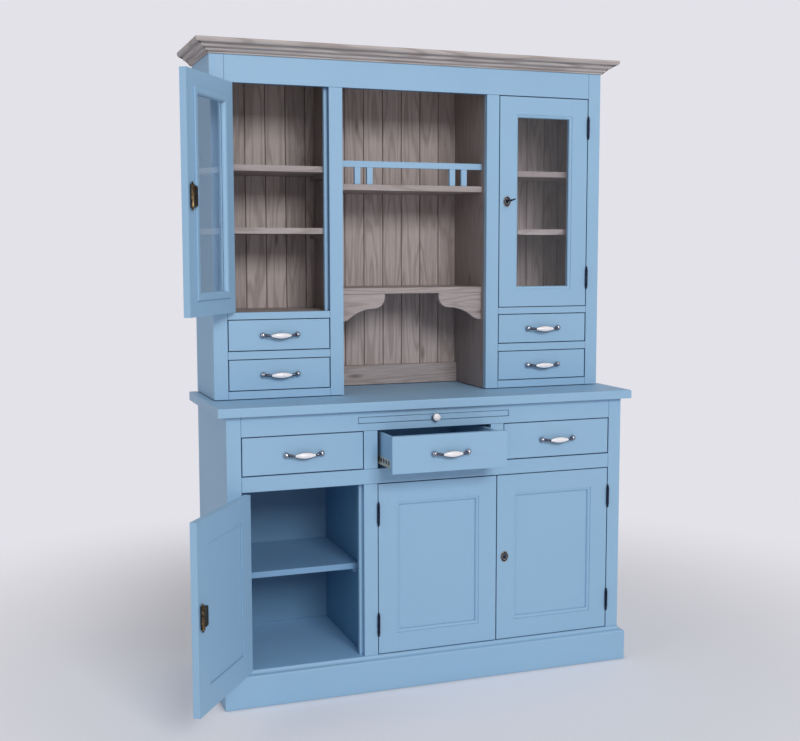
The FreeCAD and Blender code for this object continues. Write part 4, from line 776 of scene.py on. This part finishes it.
# A door's lowest and highest edge, its free edge as if hung on the left (mm), its swing (degrees)
DOORS = {
    "upper_left_door": (UPPER_SPAN, -319.0, -LEFT_OPEN),
    "upper_right_door": (UPPER_SPAN, -319.0, 0.0),
    "lower_left_door": (LOWER_SPAN, -259.0, -LEFT_OPEN),
    "lower_middle_door": (LOWER_SPAN, None, 0.0),
    "lower_right_door": (LOWER_SPAN, -234.0, 0.0),
}


def hinge_line(door):
    """The place (x, y) of a door's hinge line as if it hung on the left, and whether it doesn't."""
    x, y, _ = np.array(joint_places[door + "_hinge"]) / MM
    return (-abs(x), y), x > 0


def hung(skins, hinge, swing, mirror):
    """Points turned about the hinge by 'swing' degrees, with x negated for a door on the right."""
    turn = math.radians(swing)
    cos, sin = math.cos(turn), math.sin(turn)
    spin = np.array([[cos, -sin, 0], [sin, cos, 0], [0, 0, 1]])
    pivot = np.array([hinge[0], hinge[1], 0.0]) * MM
    flip = np.array([-1.0 if mirror else 1.0, 1.0, 1.0])
    return [(((points - pivot) @ spin.T + pivot) * flip, ends) for points, ends in skins]


print("doors:", ", ".join(DOORS))

# %% [markdown]
# A barrel hinge has a knuckle on the frame, one on the door above it, and a finial on each end: a
# ring, a ball and a tip. Its radius along the height is the barrel's, plus a narrow bell curve for
# each ring.

# %% Hinges
HINGE_INSET, HINGE_STAND, DOOR_GAP = 105.0, 5.5, 3.0
BARREL_RADIUS, FINIAL_RADIUS = 4.6, 4.2
LEAF_THICKNESS, LEAF_JOINT, LEAF_HEIGHT, LEAF_DEPTH, LEAF_EASE = 0.8, 0.8, 28, 18, 0.1


def hinge_heights(span):
    """The heights of a door's two hinges, set in from its lowest and highest edge."""
    return span[0] + HINGE_INSET, span[1] - HINGE_INSET


def knuckle(hinge, z, sign):
    """Half a hinge, up or down: the barrel's radius plus bells, then a ball R cos b and a tip."""
    barrel = np.linspace(0.3, 30.4, 36)
    rings = bell(barrel, 0.5, 1.7, 0.8) + bell(barrel, 0.6, 28.6, 0.9)
    b = np.radians(np.linspace(-50, 52, 12))
    heights = np.concatenate([barrel, [31.2], 35.2 + FINIAL_RADIUS * np.sin(b), [39.8, 41.4, 42.8]])
    radii = np.concatenate([BARREL_RADIUS + rings, [3.4], FINIAL_RADIUS * np.cos(b),
                            [2.2, 1.7, 0.9]])
    return lathe(heights, radii, (hinge[0], hinge[1], z), (0.0, 0.0, float(sign)), 20)


def leaf(hinge, z, on_door):
    """The thin plate that carries a knuckle, let into the edge of the stile or of the door."""
    stile, face = hinge[0] - DOOR_GAP / 2, hinge[1] + HINGE_STAND
    if on_door:
        low = (stile + DOOR_GAP - LEAF_THICKNESS, face - 1.3, z + LEAF_JOINT)
        high = (stile + DOOR_GAP, face + LEAF_DEPTH, z + LEAF_HEIGHT)
    else:
        low = (stile, face - HINGE_STAND, z - LEAF_HEIGHT)
        high = (stile + LEAF_THICKNESS, face + LEAF_DEPTH, z - LEAF_JOINT)
    return eased_block(low, high, LEAF_EASE)


frame_halves = []
for name, (span, _, _) in DOORS.items():
    hinge, mirror = hinge_line(name)
    for z in hinge_heights(span):
        frame_halves += hung([knuckle(hinge, z, -1), leaf(hinge, z, False)], hinge, 0.0, mirror)
fitting("hinge_knuckles_on_frame", frame_halves, bronzed, "carcass", "aged_brass",
        "hinge_frame_halves")
print("hinge halves on the frame:", len(frame_halves) // 2)

# %% [markdown]
# A keyhole plate is an oval with a raised rim and a ring round the keyhole. Seen from the middle of
# the keyhole, both its outline and the oval are a distance for each direction, so the plate is a
# blend from one to the other, with a thickness for each step. Hands have worn the raised rims
# bright, so these are bars along two ellipses with a brighter metal.

# %% Keyhole plates
LOCK_BACKSET, LOCK_RISE, KEYHOLE_DROP = 29.0, 7.0, 3.9
PLATE_HALF_WIDTH, PLATE_HALF_HEIGHT = 14.6, 19.4
KEYHOLE_RADIUS, HALF_SLOT, SLOT_DEPTH = 3.2, 1.6, 11.0
RIMS = ((13.2, 17.8, 1.4), (7.2, 10.6, 1.1))  # half width, half height, thickness


def keyhole_plate(x, face, z, columns=64):
    """(1-s) * keyhole + s * oval for a share s; the keyhole is a circle with a slot below."""
    a = turns(columns)
    down = np.abs(np.angle(np.exp(1j * (a + np.pi / 2))))
    slot = np.minimum(HALF_SLOT / np.maximum(np.sin(down), 1e-3),
                      SLOT_DEPTH / np.maximum(np.cos(down), 1e-3))
    hole = np.maximum(KEYHOLE_RADIUS, np.where(down < np.pi / 2, slot, 0.0))
    inner = np.stack([hole * np.cos(a), hole * np.sin(a)], axis=-1)
    outer = np.stack([PLATE_HALF_WIDTH * np.cos(a),
                      -KEYHOLE_DROP + PLATE_HALF_HEIGHT * np.sin(a)], axis=-1)
    share = np.array([0.0, 0.0, 0.1, 0.3, 0.6, 0.85, 0.96, 1.0, 1.0])[:, None, None]
    rise = np.array([0.0, 1.2, 1.5, 1.3, 1.1, 1.1, 1.0, 0.7, 0.0])
    flat = (1 - share) * inner + share * outer
    out = np.broadcast_to(face - rise[:, None], flat.shape[:2])
    return np.stack([x + flat[..., 0], out, z + flat[..., 1]], axis=-1) * MM, "ring"


def plate_rims(x, face, z):
    """Two bars along ellipses (w cos a, h sin a), at the plate's edge and round the keyhole."""
    a = turns(48)[:, None]
    middle = np.array([x, face - 1.3, z - KEYHOLE_DROP])
    across, upward = np.array([1.0, 0.0, 0.0]), np.array(UP)
    return [bar(middle + wide * np.cos(a) * across + tall * np.sin(a) * upward, thick, "ring", OUT)
            for wide, tall, thick in RIMS]


print("keyhole plate:", keyhole_plate(0, 0, 0)[0].shape, "grid")

# %% [markdown]
# The lock is screwed to the inner face: an eased brass case, a half-round barrel along its edge
# with a finial at each end, and four domed screw heads. On the glazed doors the case hangs lower
# than the keyhole, which sits in its upper half there.

# %% Locks
DOOR_THICKNESS = 22.0
UPPER_LOCK_DROP = 14.0
CASE_RIGHT, CASE_LEFT = 11.0, 48.0  # from the free edge
CASE_HALF_HEIGHT, CASE_DEPTH, CASE_EASE = 31, 11.5, 0.16
SCREW_RADIUS, SCREW_RISE, SCREW_HEIGHT = 3.0, 1.6, 25.0


def lock(free_edge, inside, z):
    """Case, barrel with finials (balls R cos b) and domed screws, for a free edge on the right."""
    right, left = free_edge - CASE_RIGHT, free_edge - CASE_LEFT
    case = eased_block((left, inside, z - CASE_HALF_HEIGHT),
                       (right - 3, inside + CASE_DEPTH, z + CASE_HALF_HEIGHT), CASE_EASE)
    b = np.radians(np.linspace(-40, 70, 8))
    end = np.concatenate([[34.0, 34.8, 35.6], 39.0 + 3.8 * np.sin(b), [43.6, 45.0]])
    end_radius = np.concatenate([[6.6, 7.1, 5.4], 3.8 * np.cos(b), [1.0, 0.5]])
    barrel = lathe(np.concatenate([-end[::-1], end]),
                   np.concatenate([end_radius[::-1], end_radius]),
                   (right - 4.5, inside + 7.6, z), UP, 24)
    d = np.radians(np.linspace(4, 84, 7))
    screws = [lathe(SCREW_RISE * np.sin(d), SCREW_RADIUS * np.cos(d), (x, inside + 11.4, z + up),
                    (0.0, 1.0, 0.0), 16)
              for x in (left + 7, right - 20) for up in (-SCREW_HEIGHT, SCREW_HEIGHT)]
    return [case, barrel] + screws


print("a lock has", len(lock(0.0, 0.0, 0.0)), "skins")

# %% Hang the fittings on the doors
for name, (span, free_edge, swing) in DOORS.items():
    hinge, mirror = hinge_line(name)
    face = hinge[1] + HINGE_STAND
    iron = []
    for z in hinge_heights(span):
        iron += [knuckle(hinge, z, 1), leaf(hinge, z, True)]
    ironwork = name + "_ironwork"
    if free_edge is not None:
        lock_height = sum(span) / 2 + LOCK_RISE
        keyhole = (free_edge - LOCK_BACKSET, face, lock_height)
        iron.append(keyhole_plate(*keyhole))
        rims = hung(plate_rims(*keyhole), hinge, swing, mirror)
        fitting(name + "_plate_rims", rims, worn_bronze, name, "aged_brass", ironwork)
        case_height = lock_height - (UPPER_LOCK_DROP if span == UPPER_SPAN else 0.0)
        case = hung(lock(free_edge, face + DOOR_THICKNESS, case_height), hinge, swing, mirror)
        fitting(name + "_lock", case, brass, name, "aged_brass", ironwork)
    iron = hung(iron, hinge, swing, mirror)
    fitting(name + "_hinges_and_plate", iron, bronzed, name, "aged_brass", ironwork)
print("doors fitted:", len(DOORS))

# %% [markdown]
# ## Key
# The key in the right-hand glazed door has a ring bow, a shank with a collar, and a bit. The ring
# is a bar along an ellipse that lies at a tilt, and the shank is a lathe shape.

# %% Key
BOW_TILT, BOW_OUT, BOW_HALF_WIDTH, BOW_HALF_DEPTH, BOW_RADIUS = 22.0, 49.0, 10.2, 7.2, 1.9
key_at = np.array(joint_places["upper_right_key_turn"]) / MM
tilt = math.radians(BOW_TILT)
level = np.array([math.cos(tilt), 0.0, math.sin(tilt)])
a = turns(40)[:, None]
ellipse = BOW_HALF_WIDTH * np.cos(a) * level + BOW_HALF_DEPTH * np.sin(a) * np.array(OUT)
bow = bar(key_at + BOW_OUT * np.array(OUT) + ellipse, BOW_RADIUS, "ring", np.cross(level, OUT))
shank = lathe([-31, -30.4, 4.0, 5.0, 6.2, 7.6, 9.0, 10.0, 11.0, 38.0, 39.0, 40.2, 41.4, 42.6],
              [1.8, 2.4, 2.4, 3.2, 4.0, 4.0, 3.2, 2.4, 2.2, 2.2, 3.4, 3.8, 3.4, 2.4], key_at, OUT)
bit = eased_block(key_at + (0.0, 26.2, -1.1), key_at + (7.3, 30.8, 1.1))
fitting("upper_right_key_forged", [bow, shank, bit], bronzed, "upper_right_key", "aged_brass",
        "upper_right_key")
print("key at", [round(v, 1) for v in key_at], "mm")

# %% [markdown]
# ## Floor, light and camera
# The floor is a wide pale sheet that takes the dresser's shadow, with a painted shadow added where
# it meets the dresser's foot. Far from the dresser, rays from the camera see the wall colour on it,
# so it runs into the background without a line. One broad soft box stands high in front, which
# leaves the cupboards darker inside, a weaker one on the left lifts the shaded side, and the sky
# gives an even white fill.

# %% Floor
WALL = "#E3E2E9"
FLOOR_HALF, FLOOR_SHADOW_REACH = 30.0, 30 * MM
FADE_START, FADE_END = 1.0, 2.8


def seen_directly(tree):
    """1 for rays that come straight from the camera, through a pane or off a gloss."""
    path = add(tree, "LightPath")
    rays = {0: path.outputs["Is Camera Ray"], 1: path.outputs["Is Transmission Ray"]}
    clear = add(tree, "Math", rays, operation="MAXIMUM").outputs[0]
    rays = {0: clear, 1: path.outputs["Is Glossy Ray"]}
    return add(tree, "Math", rays, operation="MAXIMUM").outputs[0]


floor_corners = FLOOR_HALF * np.array([[-1, -1, 0], [1, -1, 0], [1, 1, 0], [-1, 1, 0]])
floor_mesh = bpy.data.meshes.new("studio_floor")
floor_mesh.from_pydata(floor_corners.tolist(), [], [(0, 1, 2, 3)])
floor = bpy.data.objects.new("studio_floor", floor_mesh)
bpy.context.scene.collection.objects.link(floor)
floor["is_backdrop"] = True
floor_material, tree, shader = new_material("pale_floor")
# painted shadow: the floor darkens where it meets the dresser and sees little sky
shade = painted_gap_shade(tree, linear("#F4F4FA"), "#4A5468", share=0.85, open_at=0.9,
                    reach=FLOOR_SHADOW_REACH)
feed(tree, shader, {"Base Color": shade, "Roughness": 0.8})
place = add(tree, "TexCoord").outputs["Object"]
far = add(tree, "VectorMath", {0: place}, operation="LENGTH").outputs["Value"]
fade = add(tree, "MapRange", {"Value": far, "From Min": FADE_START, "From Max": FADE_END,
                              "To Min": 0.15, "To Max": 1.0},
           interpolation_type="SMOOTHSTEP").outputs[0]
fade = add(tree, "Math", {0: fade, 1: seen_directly(tree)}, operation="MULTIPLY").outputs[0]
glow = add(tree, "Emission", {"Color": linear(WALL), "Strength": 1.0}).outputs[0]
set_surface(tree, add(tree, "MixShader", {0: fade, 1: shader.outputs[0], 2: glow}).outputs[0])
floor_mesh.materials.append(floor_material)
print("floor fades into the wall colour between", FADE_START, "and", FADE_END, "m")

# %% Sky and lamps
AIM_HEIGHT, FILL_STRENGTH = 1.1, 0.38
world = bpy.data.worlds.new("studio_air")
bpy.context.scene.world = world
world.use_nodes = True
tree = world.node_tree
tree.nodes.clear()
fill = add(tree, "Background", {"Color": linear("#FFFFFF"), "Strength": FILL_STRENGTH}).outputs[0]
wall = add(tree, "Background", {"Color": linear(WALL), "Strength": 1.0}).outputs[0]
sky = add(tree, "MixShader", {0: seen_directly(tree), 1: fill, 2: wall}).outputs[0]
add(tree, "OutputWorld", {"Surface": sky})


def soft_box(name, watts, azimuth, elevation, distance, width, height):
    """A soft box that looks at the dresser's middle from an angle to the right and one upwards."""
    data = bpy.data.lights.new(name, "AREA")
    data.energy = watts
    data.shape = "RECTANGLE"
    data.size, data.size_y = width, height
    lamp = bpy.data.objects.new(name, data)
    az, el = math.radians(azimuth), math.radians(elevation)
    level = distance * math.cos(el)
    lamp.location = (level * math.sin(az), -level * math.cos(az),
                     AIM_HEIGHT + distance * math.sin(el))
    lamp.rotation_euler = (math.pi / 2 - el, 0.0, az)
    bpy.context.scene.collection.objects.link(lamp)


soft_box("high_soft_box", 1240, 2, 24, 16.0, width=6.0, height=4.5)
soft_box("left_soft_box", 14, -74, 15, 4.5, width=1.3, height=1.7)

# %% [markdown]
# The camera stands left of the middle at eye height and looks a little down and to the right, as in
# the photograph. Its place, turn and lens were worked out from the corners of the dresser there, in
# a frame of 800 by 741 pixels.

# %% Camera
LOOK_DOWN, LOOK_RIGHT, ROLL = 5.75797, 20.02302, 0.0787
camera_data = bpy.data.cameras.new("camera")
camera_data.sensor_fit = "HORIZONTAL"
camera_data.sensor_width = 36.0
camera_data.lens = 53.467
camera = bpy.data.objects.new("camera", camera_data)
camera.location = (-1.485086, -3.959361, 1.493214)
camera.rotation_euler = [math.radians(angle) for angle in (90 - LOOK_DOWN, ROLL, -LOOK_RIGHT)]
bpy.context.scene.collection.objects.link(camera)
bpy.context.scene.camera = camera
bpy.context.scene.view_settings.view_transform = "Standard"
print("camera:", camera_data.lens, "mm")

# %% [markdown]
# ## Sizes
# The box of the dressed dresser, without the floor, is worked out and printed. The dressed
# dresser has to stay as large as the CAD model.

# %% Work out the visual box
low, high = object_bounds()
print("visual box:", [round(v, 4) for v in low], [round(v, 4) for v in high])
